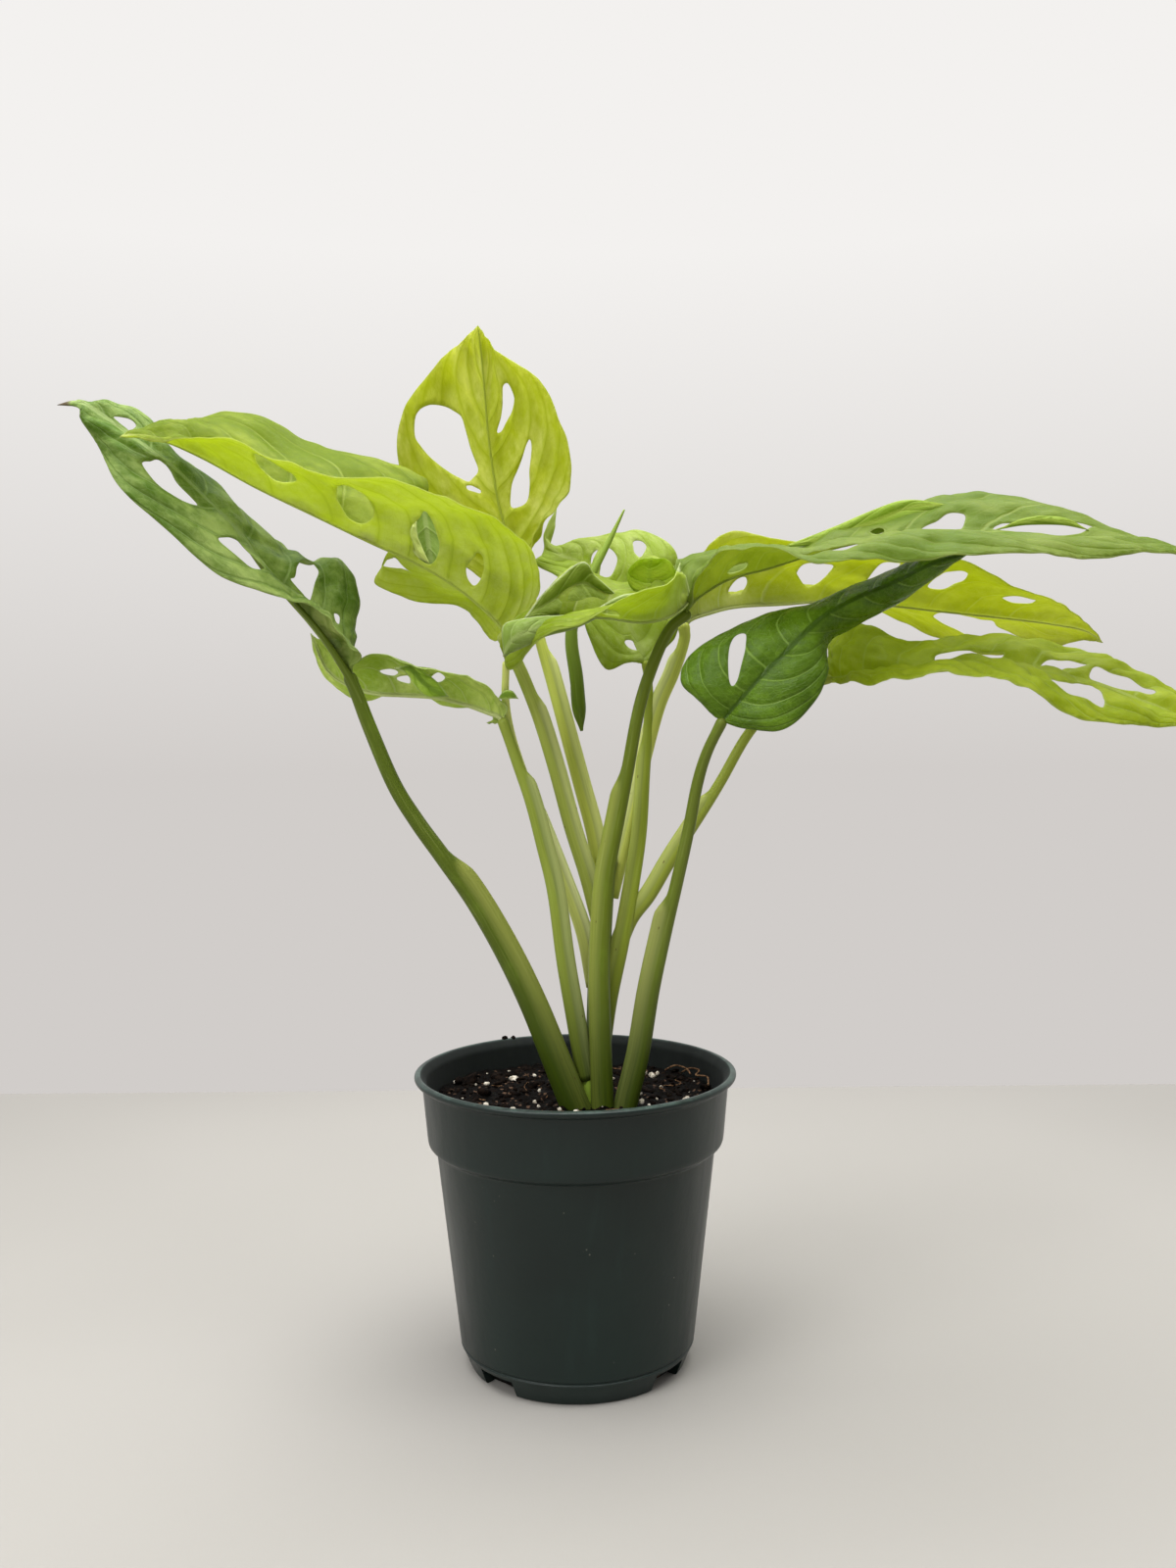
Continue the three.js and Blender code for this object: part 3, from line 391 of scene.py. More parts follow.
def scattered(draw, reach, above=0.0):
    """A random place on the soil inside that radius, or a little above it."""
    angle = draw.uniform(0, 2 * math.pi)
    radius = reach * math.sqrt(draw.random())
    return on_soil(radius * math.cos(angle), radius * math.sin(angle), above)


def tube(bm, centres, sides, toward, section, marks=()):
    """A closed tube through the centres. section(share, angle) gives how far its skin lies from
    the centre, across and deep, and then a value for each mark. Across points about toward."""
    layers = [bm.verts.layers.float.new(mark) for mark in marks]
    skin = bm.verts.layers.float_vector.new("skin")
    rings = len(centres)
    frames = []
    for centre, along in zip(centres, np.gradient(centres, axis=0)):
        along = Vector(along).normalized()
        across = (toward - along * toward.dot(along)).normalized()
        frames.append((Vector(centre), across, along.cross(across)))
    steps = np.linalg.norm(np.diff(centres, axis=0), axis=1)
    walked = np.concatenate([[0], np.cumsum(steps)])
    grid = bmesh.ops.create_grid(bm, x_segments=sides, y_segments=rings - 1, size=1)["verts"]
    for vert in grid:
        ring = round((vert.co.y + 1) / 2 * (rings - 1))
        angle = (vert.co.x + 1) * math.pi
        centre, across, deep = frames[ring]
        side, depth, *values = section(ring / (rings - 1), angle)
        vert.co = centre + across * side + deep * depth
        vert[skin] = (side * 1000, depth * 1000, walked[ring] * 1000)
        for layer, value in zip(layers, values):
            vert[layer] = value
    bmesh.ops.remove_doubles(bm, verts=grid, dist=1e-7)
    bmesh.ops.holes_fill(bm, edges=[edge for edge in bm.edges if edge.is_boundary], sides=0)
    bmesh.ops.recalc_face_normals(bm, faces=bm.faces)


def add_strand(whole, centres, sides, thick):
    """Adds a thin round strand through the centres."""
    strand = bmesh.new()
    tube(strand, np.array(centres), sides, Vector((0, 0, 1)), lambda share, angle: (
        thick * math.cos(angle), thick * math.sin(angle)))
    add_to(whole, strand)


def between(a, b, c, d, w):
    """A smooth line's place at a share w of the way from b to c, which lie between a and d."""
    return b + 0.5 * w * (c - a + w * (2 * a - 5 * b + 4 * c - d + w * (3 * (b - c) + d - a)))


def smooth_line(points, shares):
    """Places in metres on the smooth line through millimetre points, at shares of its run."""
    p = np.array(points, float) / 1000
    p = np.vstack([2 * p[0] - p[1], p, 2 * p[-1] - p[-2]])
    run = np.clip(shares, 0, 1) * (len(p) - 3)
    first = np.minimum(run.astype(int), len(p) - 4)
    return between(*(p[first + k] for k in range(4)), (run - first)[:, None])


def run_length(points, steps):
    """The length in metres of the smooth line through millimetre points."""
    line = smooth_line(points, np.linspace(0, 1, steps))
    return np.linalg.norm(np.diff(line, axis=0), axis=1).sum()


def grain_finish(name, dark, light, roughness):
    finish = Finish(name)
    place = finish.place()
    color = finish.tint(dark, light, finish.rise(finish.grain(place, 600, 4, 0.7), 0.35, 0.65))
    normal = finish.bump(finish.grain(place, 1500, 3), 0.6, 0.0005)
    return finish.surface(finish.skin(color, roughness, 0.06, normal))


crumb_count, clod_count, grain_count, fibre_count = 620, 26, 46, 24
draw = random.Random(11)
bm = bmesh.new()
for i in range(crumb_count):
    size = draw.uniform(0.0010, 0.0034)
    lumpy_ball(bm, scattered(draw, 0.067), size, draw.uniform(0.5, 0.9), 0.9, draw)
on_rim = [[-37.3, 64.2, 137.9, 3], [-32.8, 66.6, 137.9, 2.4]]
at_wall = [[63, 12, 125.5, 4], [-58, 28, 125.5, 4.5]]
for x, y, z, size in on_rim + at_wall:
    lumpy_ball(bm, Vector((x, y, z)) / 1000, size / 1000, 0.8, 0.9, draw)
clods = random.Random(31)
for i in range(clod_count):
    spot = scattered(clods, 0.062, above=0.0008)
    lumpy_ball(bm, spot, clods.uniform(0.004, 0.0075), clods.uniform(0.45, 0.7), 1.1, clods)
crumbs = object_from(bm, "bark_crumbs", grain_finish("damp_bark", "#030202", "#1b120c", 0.85))
bm = bmesh.new()
for i in range(grain_count):
    size = draw.choice((0.0007, 0.0010, 0.0014, 0.0022, 0.0036))
    lumpy_ball(bm, scattered(draw, 0.066, above=0.0004), size, 0.8, 0.8, draw)
grains = [[-33, -21, 2.6], [-29, -21, 2.2], [-60, 29, 2.4], [-21, 37, 2.2], [-44, 26, 2.6],
          [-7, -26, 2.4], [-17, -18, 1.8], [34, 39, 3], [38, 38, 3.4], [41, 38, 2.6],
          [31, -13, 3.2]]
for x, y, size in grains:
    spot = on_soil(x / 1000, y / 1000, above=0.0006)
    lumpy_ball(bm, spot, size / 1000, 0.8, 0.8, draw)
perlite = object_from(bm, "perlite_grains", grain_finish("perlite", "#8f8677", "#ddd6c8", 0.9))
bm = bmesh.new()
for i in range(fibre_count):
    centres = [scattered(draw, 0.060, above=0.0007)]
    heading = draw.uniform(0, 2 * math.pi)
    bend = draw.uniform(-0.35, 0.35)
    thick = draw.uniform(0.00012, 0.0003)
    for step in range(9):
        stride = Vector((math.cos(heading), math.sin(heading), draw.uniform(-0.1, 0.12))) * 0.0016
        centres.append(centres[-1] + stride)
        heading += bend + draw.uniform(-0.25, 0.25)
    add_strand(bm, centres, 5, thick)
curls = [[[53, 38, 126], [57, 34, 129], [61, 28, 129.5], [59, 22, 128.5], [64, 17, 129],
          [64, 10, 126.5]],
         [[45, 43, 126], [50, 40, 129], [55, 36, 128.5], [57, 30, 127]]]
for curl in curls:
    add_strand(bm, smooth_line(curl, np.linspace(0, 1, 30)), 6, 0.00042)
fibres = object_from(bm, "root_fibres", grain_finish("dry_fibre", "#3c291c", "#86664a", 0.8))
for piece in (crumbs, perlite, fibres):
    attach(piece, "root")


# Stem: the short climbing stem that every stalk springs from, hidden behind them.
# It is round and a little rough, and its crown at the soil is paler.
stalk_sides = 28


def smoothstep(low, high, value):
    t = np.clip((value - low) / (high - low), 0, 1)
    return t * t * (3 - 2 * t)


def stalk_finish(name, core, wing, foot, shine):
    """Living stalk: a core colour, a paler sheath, a darker foot laid on near the soil as painted
    shade, painted shade in its creases, and fine lengthwise streaks.
    """
    finish = Finish(name)
    around = finish.written("skin", "Vector")
    streak = finish.grain(finish.stretched(around, (1.3, 1.3, 0.035)), 1, 2, 0.5)
    cloud = finish.grain(finish.stretched(around, (0.1, 0.1, 0.04)), 1, 3)
    color = finish.tint(core, wing, finish.rise(finish.written("wing"), 0.15, 0.6))
    color = finish.tint(color, "#d3de8a", finish.rise(streak, 0.52, 0.8) * 0.12)
    color = finish.tint(color, "#3f5a10", finish.rise(streak, 0.5, 0.25) * 0.2)
    color = finish.tint(color, "#8fae38", finish.rise(cloud, 0.5, 0.75) * 0.2)
    # Painted shade darkens the crease mark: the fold of a sheath's edge, and the furled leaf's
    # groove.
    color = finish.tint(color, "#46591f", finish.written("crease_shade") * 0.45)
    # Painted shade: low down, towards the soil, the stalk turns to its darker foot colour.
    low = finish.rise(finish.part(finish.place(), "Z"), 0.212, 0.124)
    color = finish.tint(color, foot, low * finish.rise(streak, 0.3, 0.7, 0.62, 0.88))
    speck = finish.cells(finish.stretched(around, (1, 1, 0.4)), 0.26)
    spots = finish.rise(speck, 0.10, 0.06) * finish.rise(cloud, 0.5, 0.56)
    color = finish.tint(color, "#4a2d17", spots * 0.8)
    roughness = finish.rise(streak, 0.3, 0.7, shine - 0.05, shine + 0.08)
    skin = finish.skin(color, roughness, 0.2, finish.bump(streak + spots * 0.5, 0.1, 0.0003))
    return finish.surface(finish.lit_through(skin, wing, 0.12))


def make_stalk(name, node, path, foot, top, colors, reach=0, sheath_end=0.5, shine=0.42):
    """A stalk along a path in millimetres: a round core with a sheath along its lower part, whose
    thin edge stands out to one side as far as reach says. Radii run from foot to top, and the
    colours are those of the core, the sheath and the foot, whose darker colour low down is painted
    shade."""
    hand = -1 if reach < 0 else 1
    length = run_length(path, 60)
    ring_step = 0.0028
    rings = max(12, round(length / ring_step))
    centres = smooth_line(path, np.linspace(0, 1, rings))
    onward = (centres[-1] - centres[-2]) / np.linalg.norm(centres[-1] - centres[-2])
    turns = np.array([0.3, 0.6, 0.9, 1.2, 1.45])
    cap = centres[-1] + np.outer(np.sin(turns) * top * 1.1 / 1000, onward)
    close = np.concatenate([np.ones(rings), np.cos(turns)])

    def section(share, angle):
        ring = round(share * (len(close) - 1))
        share = min(1, ring / (rings - 1))
        sheath = 1 - smoothstep(sheath_end - 0.03, sheath_end + 0.03, share) if reach else 0
        toward_wing = max(0, math.cos(angle) * hand)
        joint = 1 + 0.10 * math.exp(-((share - 1) * length / 0.006) ** 2)
        radius = (foot + (top - foot) * share) * joint * close[ring] / 1000
        fold = sheath * math.exp(-((toward_wing - 0.5) / 0.13) ** 2)
        side = radius * math.cos(angle) + reach / 1000 * sheath * toward_wing ** 2
        pull = 1 - 0.09 * fold
        return side * pull, radius * math.sin(angle) * pull, sheath * toward_wing, fold

    bm = bmesh.new()
    line = np.vstack([centres, cap])
    tube(bm, line, stalk_sides, Vector((1, 0, 0)), section, ("wing", "crease_shade"))
    piece = object_from(bm, name, stalk_finish(name, *colors, shine))
    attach(piece, "root")
    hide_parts(node)


path = [[11, -8, 100], [11, -7, 126], [11, -5, 158], [12, -3, 190], [14, -1, 217], [16, 0, 236]]
make_stalk("climbing_stem", "stem", path, 6.6, 4.2, ("#6c7d28", "#828f3a", "#354c0c"), shine=0.5)
path = [[5, -13, 100], [5, -12, 118], [5.5, -11, 132], [7, -10, 141]]
make_stalk("stem_crown", "stem", path, 7, 5.5, ("#8fa63a", "#a9bb52", "#7f9a34"), shine=0.34)


# Far left leaf: a dark green satin blade on a thick stalk, reaching up to the left, with long
# holes beside its midrib and a browned tip. The stalk runs on as a thick midrib at its base.
class Blade:
    """A leaf blade between its midrib and its two margins, all in millimetres, which share the
    foot and the tip. A place on it is (s, c): s runs from foot to tip, and c from -1 at the left
    margin to 1 at the right one. arch is how far each half bulges, as a share of its width."""

    def __init__(self, foot, tip, rib, left, right, arch=0.12):
        rib, self.left, self.right = ([foot, *line, tip] for line in (rib, left, right))
        self.rib, self.arch = rib, arch
        self.length = run_length(rib, 400) * 1000

    def reach(self, s, c):
        margin = np.where((c < 0)[:, None], smooth_line(self.left, s), smooth_line(self.right, s))
        return margin - smooth_line(self.rib, s)

    def width(self, s, c):
        return np.linalg.norm(self.reach(s, c), axis=1) * 1000

    def place(self, s, c):
        reach = self.reach(s, c)
        along = smooth_line(self.rib, s + 0.002) - smooth_line(self.rib, s - 0.002)
        up = np.cross(reach, along) * np.where(c < 0, -1, 1)[:, None]
        up /= np.maximum(np.linalg.norm(up, axis=1), 1e-12)[:, None]
        span = np.abs(c)[:, None]
        bulge = self.arch * np.linalg.norm(reach, axis=1)[:, None] * 4 * span * (1 - span)
        return smooth_line(self.rib, s) + reach * span + up * bulge


def margin_stops(blade, side, step):
    """Shares of the run at even steps along a margin, laid flat."""
    s = np.linspace(0, 1, 3000)
    width = blade.width(s, np.full_like(s, side))
    walked = np.concatenate([[0], np.cumsum(np.hypot(np.diff(s * blade.length), np.diff(width)))])
    stops = np.interp(np.arange(1, int(walked[-1] / step)) * step, walked, s)
    return stops[np.interp(stops, s, width) > 0.5]


def hole_edge(blade, ring, step):
    """The flat places round a hole: a closed smooth line through its ring of places (s, c)."""
    s, c = np.array(ring).T
    flat = np.column_stack([s * blade.length, c * blade.width(s, c)])
    run = np.linspace(0, len(flat), 40 * len(flat))
    knots = (flat[(run.astype(int) + k) % len(flat)] for k in (-1, 0, 1, 2))
    line = between(*knots, (run % 1)[:, None])
    walked = np.concatenate([[0], np.cumsum(np.hypot(*np.diff(line, axis=0).T))])
    stops = np.linspace(0, walked[-1], max(12, round(walked[-1] / step)), endpoint=False)
    return np.column_stack([np.interp(stops, walked, line[:, axis]) for axis in (0, 1)])


def inside_holes(spots, outlines):
    """Whether each flat spot lies inside any of the outlines."""
    inside = np.zeros(len(spots), bool)
    x, y = spots.T
    for outline in outlines:
        for (ax, ay), (bx, by) in zip(outline, np.roll(outline, -1, axis=0)):
            crosses = (ay > y) != (by > y)
            inside ^= crosses & (x < ax + (bx - ax) * (y - ay) / (by - ay or 1))
    return inside


def laid_flat(blade, holes):
    """The places of a blade's sheet, its triangles, and each place's distance from an edge."""
    edge_step, inner_step, widest = 1.1, 1.7, 110
    left, right = (margin_stops(blade, side, edge_step) for side in (-1, 1))
    s = np.concatenate([[0], right, [1], left[::-1]])
    c = np.concatenate([[0], np.ones(len(right)), [0], -np.ones(len(left))])
    loops = [np.arange(len(s))]
    outlines = [hole_edge(blade, hole, edge_step * 0.8) for hole in holes]
    for outline in outlines:
        loops.append(len(s) + np.arange(len(outline)))
        hole_s = outline[:, 0] / blade.length
        s = np.concatenate([s, hole_s])
        c = np.concatenate([c, outline[:, 1] / blade.width(hole_s, outline[:, 1])])
    rim = np.column_stack([s * blade.length, c * blade.width(s, c)])
    edges = [pair for loop in loops for pair in zip(loop.tolist(), np.roll(loop, -1).tolist())]
    rib_s = np.linspace(0, 1, round(blade.length / inner_step))[1:-1]
    row = inner_step * math.sqrt(0.75)
    last = round(widest / row)
    rows, columns = np.mgrid[-last:last + 1, 0:round(blade.length / inner_step)]
    x = ((columns + rows % 2 / 2 + 0.25) * inner_step).ravel()
    y = (rows * row).ravel()
    used = (y != 0) & (x < blade.length * 0.999)
    x, y = x[used], y[used]
    grid_s = x / blade.length
    grid_c = y / blade.width(grid_s, y)
    keep = (np.abs(grid_c) < 1) & ~inside_holes(np.column_stack([x, y]), outlines)
    inner_s = np.concatenate([rib_s, grid_s[keep]])
    inner_c = np.concatenate([np.zeros(len(rib_s)), grid_c[keep]])
    inner = np.column_stack([inner_s * blade.length, inner_c * blade.width(inner_s, inner_c)])
    gap = np.array([np.hypot(*(rim - place).T).min() for place in inner])
    apart = gap > inner_step * 0.5
    s, c = np.concatenate([s, inner_s[apart]]), np.concatenate([c, inner_c[apart]])
    flat = np.concatenate([rim, inner[apart]])
    gap = np.concatenate([np.zeros(len(rim)), gap[apart]])
    found = delaunay_2d_cdt([Vector(place) for place in flat], edges, [], 1, 1e-5)
    origin = [ids[0] for ids in found[3]]
    triangles = np.array([[origin[k] for k in face] for face in found[2]])
    triangles = triangles[~inside_holes(flat[triangles].mean(axis=1), outlines)][:, ::-1]
    return s, c, triangles, flat, gap


def vein_places(s, c, holes, veins, lean, bend):
    """Counts side veins along the blade: whole numbers lie on a vein, and holes between two."""
    def count(s, c):
        return veins * (s - lean * np.abs(c) - bend * np.abs(c) ** 3)

    place = count(s, c)
    for side in (-1, 1):
        middles = [np.mean(hole, axis=0) for hole in holes]
        knots = sorted(count(along, out) for along, out in middles if out * side > 0)
        here, there = [-veins], [-veins]
        for knot in knots:
            wanted = math.floor(knot) + 0.5
            if wanted > there[-1] and knot > here[-1] + 0.4:
                here.append(knot)
                there.append(wanted)
        here.append(veins * 2)
        there.append(veins * 2)
        half = c * side > 0
        place[half] = np.interp(place[half], here, there)
    return place


def make_blade(name, node, blade, holes, finish, veins, quilt, wave, rib_radius, seed,
               lean=0.07, bend=0.2):
    """A leaf blade: a thin sheet with its holes, pillowed between its side veins, and a midrib.
    A hole is a ring of places in thousandths. Heights and radii are in millimetres."""
    holes = [np.array(ring) / 1000 for ring in holes]
    s, c, triangles, flat, gap = laid_flat(blade, holes)
    place = blade.place(s, c)
    across = place[triangles[:, 1]] - place[triangles[:, 0]]
    face_normal = np.cross(across, place[triangles[:, 2]] - place[triangles[:, 0]])
    normal = np.zeros_like(place)
    for corner in range(3):
        np.add.at(normal, triangles[:, corner], face_normal)
    normal /= np.maximum(np.linalg.norm(normal, axis=1), 1e-12)[:, None]
    count = vein_places(s, c, holes, veins, lean, bend)
    from_rib = np.abs(c) * blade.width(s, c)
    calm = smoothstep(0, 5, from_rib) * smoothstep(0, 6, gap)
    pillow = quilt * np.sin(np.pi * count) ** 2 * calm
    frill = np.array([noise.noise(Vector((x * 0.045, side * 7, seed * 3.7)))
                      for x, side in zip(flat[:, 0], np.sign(c))])
    ripple = wave * np.abs(c) ** 3 * (np.sin(2 * np.pi * (s * 3.3 + seed * 0.37) + c) + 3 * frill)
    ripple = ripple * smoothstep(0, 0.1, s) * smoothstep(0, 0.1, 1 - s)
    pucker = np.array([noise.noise(Vector((x * 0.055, y * 0.075, seed * 9.1)))
                       + 0.4 * noise.noise(Vector((x * 0.16, y * 0.18, seed * 5.3)))
                       for x, y in flat])
    lift = (pillow + ripple + pucker * quilt * 2.8 * smoothstep(0, 4, from_rib)) / 1000
    thin, thicker, rib_width = 0.22, 0.35, 1.6
    half = (thin + thicker * np.exp(-(from_rib / rib_width) ** 2) * (1 - s)) / 1000
    upper = place + normal * (lift + half)[:, None]
    lower = place + normal * (lift - half)[:, None]

    bm = bmesh.new()
    layers = bm.verts.layers
    vein_place, upper_side, from_edge = (
        layers.float.new(mark) for mark in ("vein_place", "upper", "from_edge"))
    lamina = layers.float_vector.new("lamina")
    rib_shares = np.linspace(0, 1, round(blade.length / 2.5))
    rib_line = smooth_line(blade.rib, rib_shares)
    on_rib = np.flatnonzero(c == 0)
    on_rib = on_rib[np.argsort(s[on_rib])]
    rib_normal = [np.interp(rib_shares, s[on_rib], normal[on_rib, axis]) for axis in range(3)]

    def thickness(share):
        return (rib_radius * (1 - share) ** 0.7 + 0.16) / 1000

    rib_line -= np.column_stack(rib_normal) * (thickness(rib_shares) * 0.62)[:, None]
    tube(bm, rib_line, 12, Vector((0, 1, 0)), lambda share, angle: (
        thickness(share) * math.cos(angle), thickness(share) * math.sin(angle)))
    far_from_edge = 9
    for vert in bm.verts:
        vert[lamina] = (vert[layers.float_vector["skin"]][2], 0, 0)
        vert[from_edge] = far_from_edge
    sheets = []
    for side, places in ((1, upper), (0, lower)):
        verts = [bm.verts.new(spot) for spot in places]
        sheets.append(verts)
        for i, vert in enumerate(verts):
            vert[vein_place], vert[upper_side], vert[from_edge] = count[i], side, gap[i]
            vert[lamina] = (flat[i][0], flat[i][1], seed * 10)
    top, bottom = sheets
    rim = {}
    for corner in triangles.tolist():
        bm.faces.new([top[k] for k in corner])
        bm.faces.new([bottom[k] for k in reversed(corner)])
        for pair in zip(corner, corner[1:] + corner[:1]):
            if not rim.pop(pair[::-1], False):
                rim[pair] = True
    for start, end in rim:
        bm.faces.new((top[end], top[start], bottom[start], bottom[end]))
    piece = object_from(bm, name, finish)
    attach(piece, "root")
    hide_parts(node)


def make_fold(name, node, blade, finish, seed, veins=3, quilt=0.15, wave=0.1,
              rib_radius=0.25):
    """A small whole blade that is one fold, curl or lobe of a leaf."""
    make_blade(name, node, blade, [], finish, veins, quilt, wave, rib_radius, seed,
               lean=0.16, bend=0.10)


def leaf_finish(name, upper, under, gap, edge, glow, shine=0.4, glow_share=0.3, tip=None,
                keel=None):
    """Living leaf: its two sides, side veins, a fine net between them, a thin pale edge, and
    painted shade of the pillows beside the side veins. Each side has its darkest colour, its
    lightest and its veins', and gap is how far apart the side veins lie in mm. A withered tip is
    brown from that many mm along the blade, and keel is the midrib's colour where it differs from
    the side veins'."""
    finish = Finish(name)
    lamina = finish.written("lamina", "Vector")
    side = finish.rise(finish.written("upper"), 0.3, 0.7)
    from_rib = finish.math("ABSOLUTE", finish.part(lamina, "Y"))
    wander = finish.grain(lamina, 0.06, 2) - 0.5
    from_vein = finish.math("PINGPONG", finish.written("vein_place") + wander * 0.12, 0.5)
    side_vein = finish.rise(from_vein * gap, 0.75, 0.15)
    vein_bed_and_shade = finish.rise(from_vein * gap, 3.4, 0.3)
    midrib = finish.rise(from_rib, 1.5, 0.7)
    finer = finish.math("PINGPONG", finish.written("vein_place") * 4 + wander * 1.6, 0.5)
    finer_vein = finish.rise(finer * gap, 0.9, 0.1)
    net = finish.rise(finish.cells(lamina, 0.36, "DISTANCE_TO_EDGE"), 0.09, 0.01)
    fine_net = finish.rise(finish.cells(lamina, 0.95, "DISTANCE_TO_EDGE"), 0.12, 0.0)
    cloud = finish.grain(lamina, 0.035, 4, 0.6)
    mottle = finish.grain(lamina, 0.35, 4, 0.65)

    def painted(dark, light, vein):
        shade = finish.rise(cloud + (mottle - 0.5) * 0.5, 0.3, 0.75)
        color = finish.tint(dark, light, shade)
        # Painted shade of the pillows: each side is darker close to the side veins, lighter
        # between them.
        color = finish.tint(color, dark, vein_bed_and_shade * 0.55)
        color = finish.tint(color, vein, net * 0.12 + fine_net * 0.05)
        color = finish.tint(color, vein, finer_vein * 0.2)
        color = finish.tint(color, vein, side_vein * 0.55)
        return finish.tint(color, keel or vein, midrib * 0.85)

    color = finish.tint(painted(*under), painted(*upper), side)
    color = finish.tint(color, edge, finish.rise(finish.written("from_edge"), 0.8, 0.1) * 0.4)
    if tip:
        withered = finish.rise(finish.part(lamina, "X") + (mottle - 0.5) * 8, tip - 2, tip + 2)
        color = finish.tint(color, finish.tint("#3d2a1c", "#7d6a4c", mottle), withered)
    raised = side_vein * 0.8 + vein_bed_and_shade * 0.7 + finer_vein * 0.3 + net * 0.22 + fine_net * 0.08
    height = raised * (1 - side * 2) + mottle * 0.25
    roughness = finish.rise(mottle, 0.3, 0.7, shine - 0.05, shine + 0.1) + (1 - side) * 0.12
    skin = finish.skin(color, roughness, 0.18, finish.bump(height, 0.4, 0.0011))
    return finish.surface(finish.lit_through(skin, glow, glow_share))


path = [[4, -15, 110], [-2, -18, 124], [-12, -19, 150], [-21, -20, 173], [-32, -22, 197],
        [-45, -25, 221], [-59, -28, 242], [-70, -30, 258], [-80, -31, 275], [-90, -33, 300],
        [-95, -34, 314], [-98, -35, 322]]
colors = ("#546417", "#8b9342", "#273903")
make_stalk("far_left_stalk", "petiole_far_left", path, 5, 2.8, colors, reach=4.2, sheath_end=0.52)
path = [[-91, -33, 304], [-97, -36.5, 320], [-103, -39, 331], [-111, -39, 343], [-121, -37.5, 355]]
make_stalk("far_left_midrib", "petiole_far_left", path, 2.3, 1.0, colors)
blade = Blade(
    [-98, -35, 323], [-213, -68, 436],
    rib=[[-101, -35, 329], [-108, -35, 339], [-116, -34, 349], [-124, -34, 358], [-135, -35, 371],
         [-146, -38, 387], [-158, -42, 400], [-173, -48, 415], [-188, -53, 426], [-200, -58, 435],
         [-207, -61, 439]],
    left=[[-93, -41, 331], [-95, -45, 337], [-105, -48, 347], [-115, -49, 352], [-128, -51, 358],
          [-149, -56, 366], [-171, -60, 385], [-189, -64, 402], [-199, -62, 421], [-205, -62, 430],
          [-207, -63, 436]],
    right=[[-96, -31, 330], [-100, -24, 342], [-101, -10, 364], [-110, -6, 378], [-122, -6, 379],
           [-135, -8, 383], [-154, -12, 396], [-165, -20, 414], [-180, -36, 429], [-195, -50, 439],
           [-206, -59, 441]],
)
holes = [
    [[804, 205], [789, 129], [769, 112], [760, 106], [766, 320], [784, 380]],
    [[682, -465], [682, -275], [680, -76], [654, -90], [620, -200], [589, -210], [591, -310],
     [606, -460], [631, -520], [654, -520]],
    [[529, -525], [503, -265], [487, -280], [456, -435], [443, -510], [461, -645], [486, -615],
     [510, -590]],
    [[384, 375], [390, 630], [357, 605], [336, 565], [319, 365], [299, 220], [294, 150],
     [329, 140], [367, 145], [365, 215]],
    [[220, 400], [216, 510], [206, 560], [193, 450], [203, 380]],
]
finish = leaf_finish("far_left_leaf", ("#4f7215", "#b1c66f", "#a5bb71"),
                     ("#678121", "#adbb67", "#90a150"), 17, "#9db364", "#8faa1e", glow_share=0.32,
                     tip=blade.length - 8)
make_blade("far_left_blade", "leaf_far_left", blade, holes, finish, veins=9,
           lean=0.08, quilt=1.2, wave=1.2, rib_radius=1.5, seed=1)


# Long front leaf: the longest lime blade, seen from below, arching left over the others with
# a row of wide holes. One hole has a flap behind it and a curled rim in it.
path = [[12, -4, 206], [6, -5, 230], [-1, -7, 253], [-8, -10, 280], [-15, -15, 304],
        [-22, -21, 323], [-27, -26, 334], [-30, -28, 340]]
make_stalk("long_front_stalk", "petiole_long_front", path, 3.4, 2.8,
           ("#a1ad4c", "#c2ca7c", "#2c3f07"), reach=2, sheath_end=0.62)
blade = Blade(
    [-30, -28, 341], [-188, -66, 423],
    rib=[[-31, -28, 344], [-37, -29, 351], [-50, -31, 362], [-68, -34, 373], [-88, -38, 382],
         [-111, -42, 393], [-136, -46, 405], [-158, -51, 417], [-174, -60, 423]],
    left=[[-15, -31, 357], [-16, -40, 372], [-26, -54, 386], [-43, -64, 397], [-65, -72, 401],
          [-96, -72, 406], [-124, -70, 412], [-148, -66, 420], [-169, -65, 423]],
    right=[[-35, -24, 339], [-52, -2, 356], [-79, 4, 363], [-95, 8, 374], [-65, 4, 415],
           [-88, 0, 429], [-122, -8, 431], [-154, -24, 441], [-172, -46, 435]],
)
holes = [
    [[728, -735], [703, -715], [669, -580], [655, -485], [651, -385], [669, -285], [686, -275],
     [708, -405]],
    [[590, -535], [581, -680], [569, -680], [547, -510], [525, -365], [521, -240], [530, -150],
     [549, -160], [565, -230], [584, -375]],
    [[446, -445], [446, -545], [422, -460], [398, -345], [381, -240], [374, -115], [380, -45],
     [406, -60], [435, -190], [450, -310]],
    [[315, -355], [316, -440], [301, -440], [281, -325], [274, -200], [278, -130], [299, -150],
     [315, -230]],
    [[404, 870], [409, 785], [399, 615], [357, 480], [357, 625], [393, 805]],
]
finish = leaf_finish("long_front_leaf", ("#4d6208", "#a0ab48", "#b0bb60"),
                     ("#c0cf3c", "#dbe387", "#92a337"), 18, "#d6df84", "#d0dd48", shine=0.42,
                     glow_share=0.55, keel="#ccd478")
make_blade("long_front_blade", "leaf_long_front", blade, holes, finish, veins=12,
           quilt=0.9, wave=1.5, rib_radius=0.5, seed=2)
skin = ("#74902a", "#9cb858", "#a4b868")
finish = leaf_finish("long_front_flap_skin", skin, skin, 9, "#b9c96a", "#7c9c28")
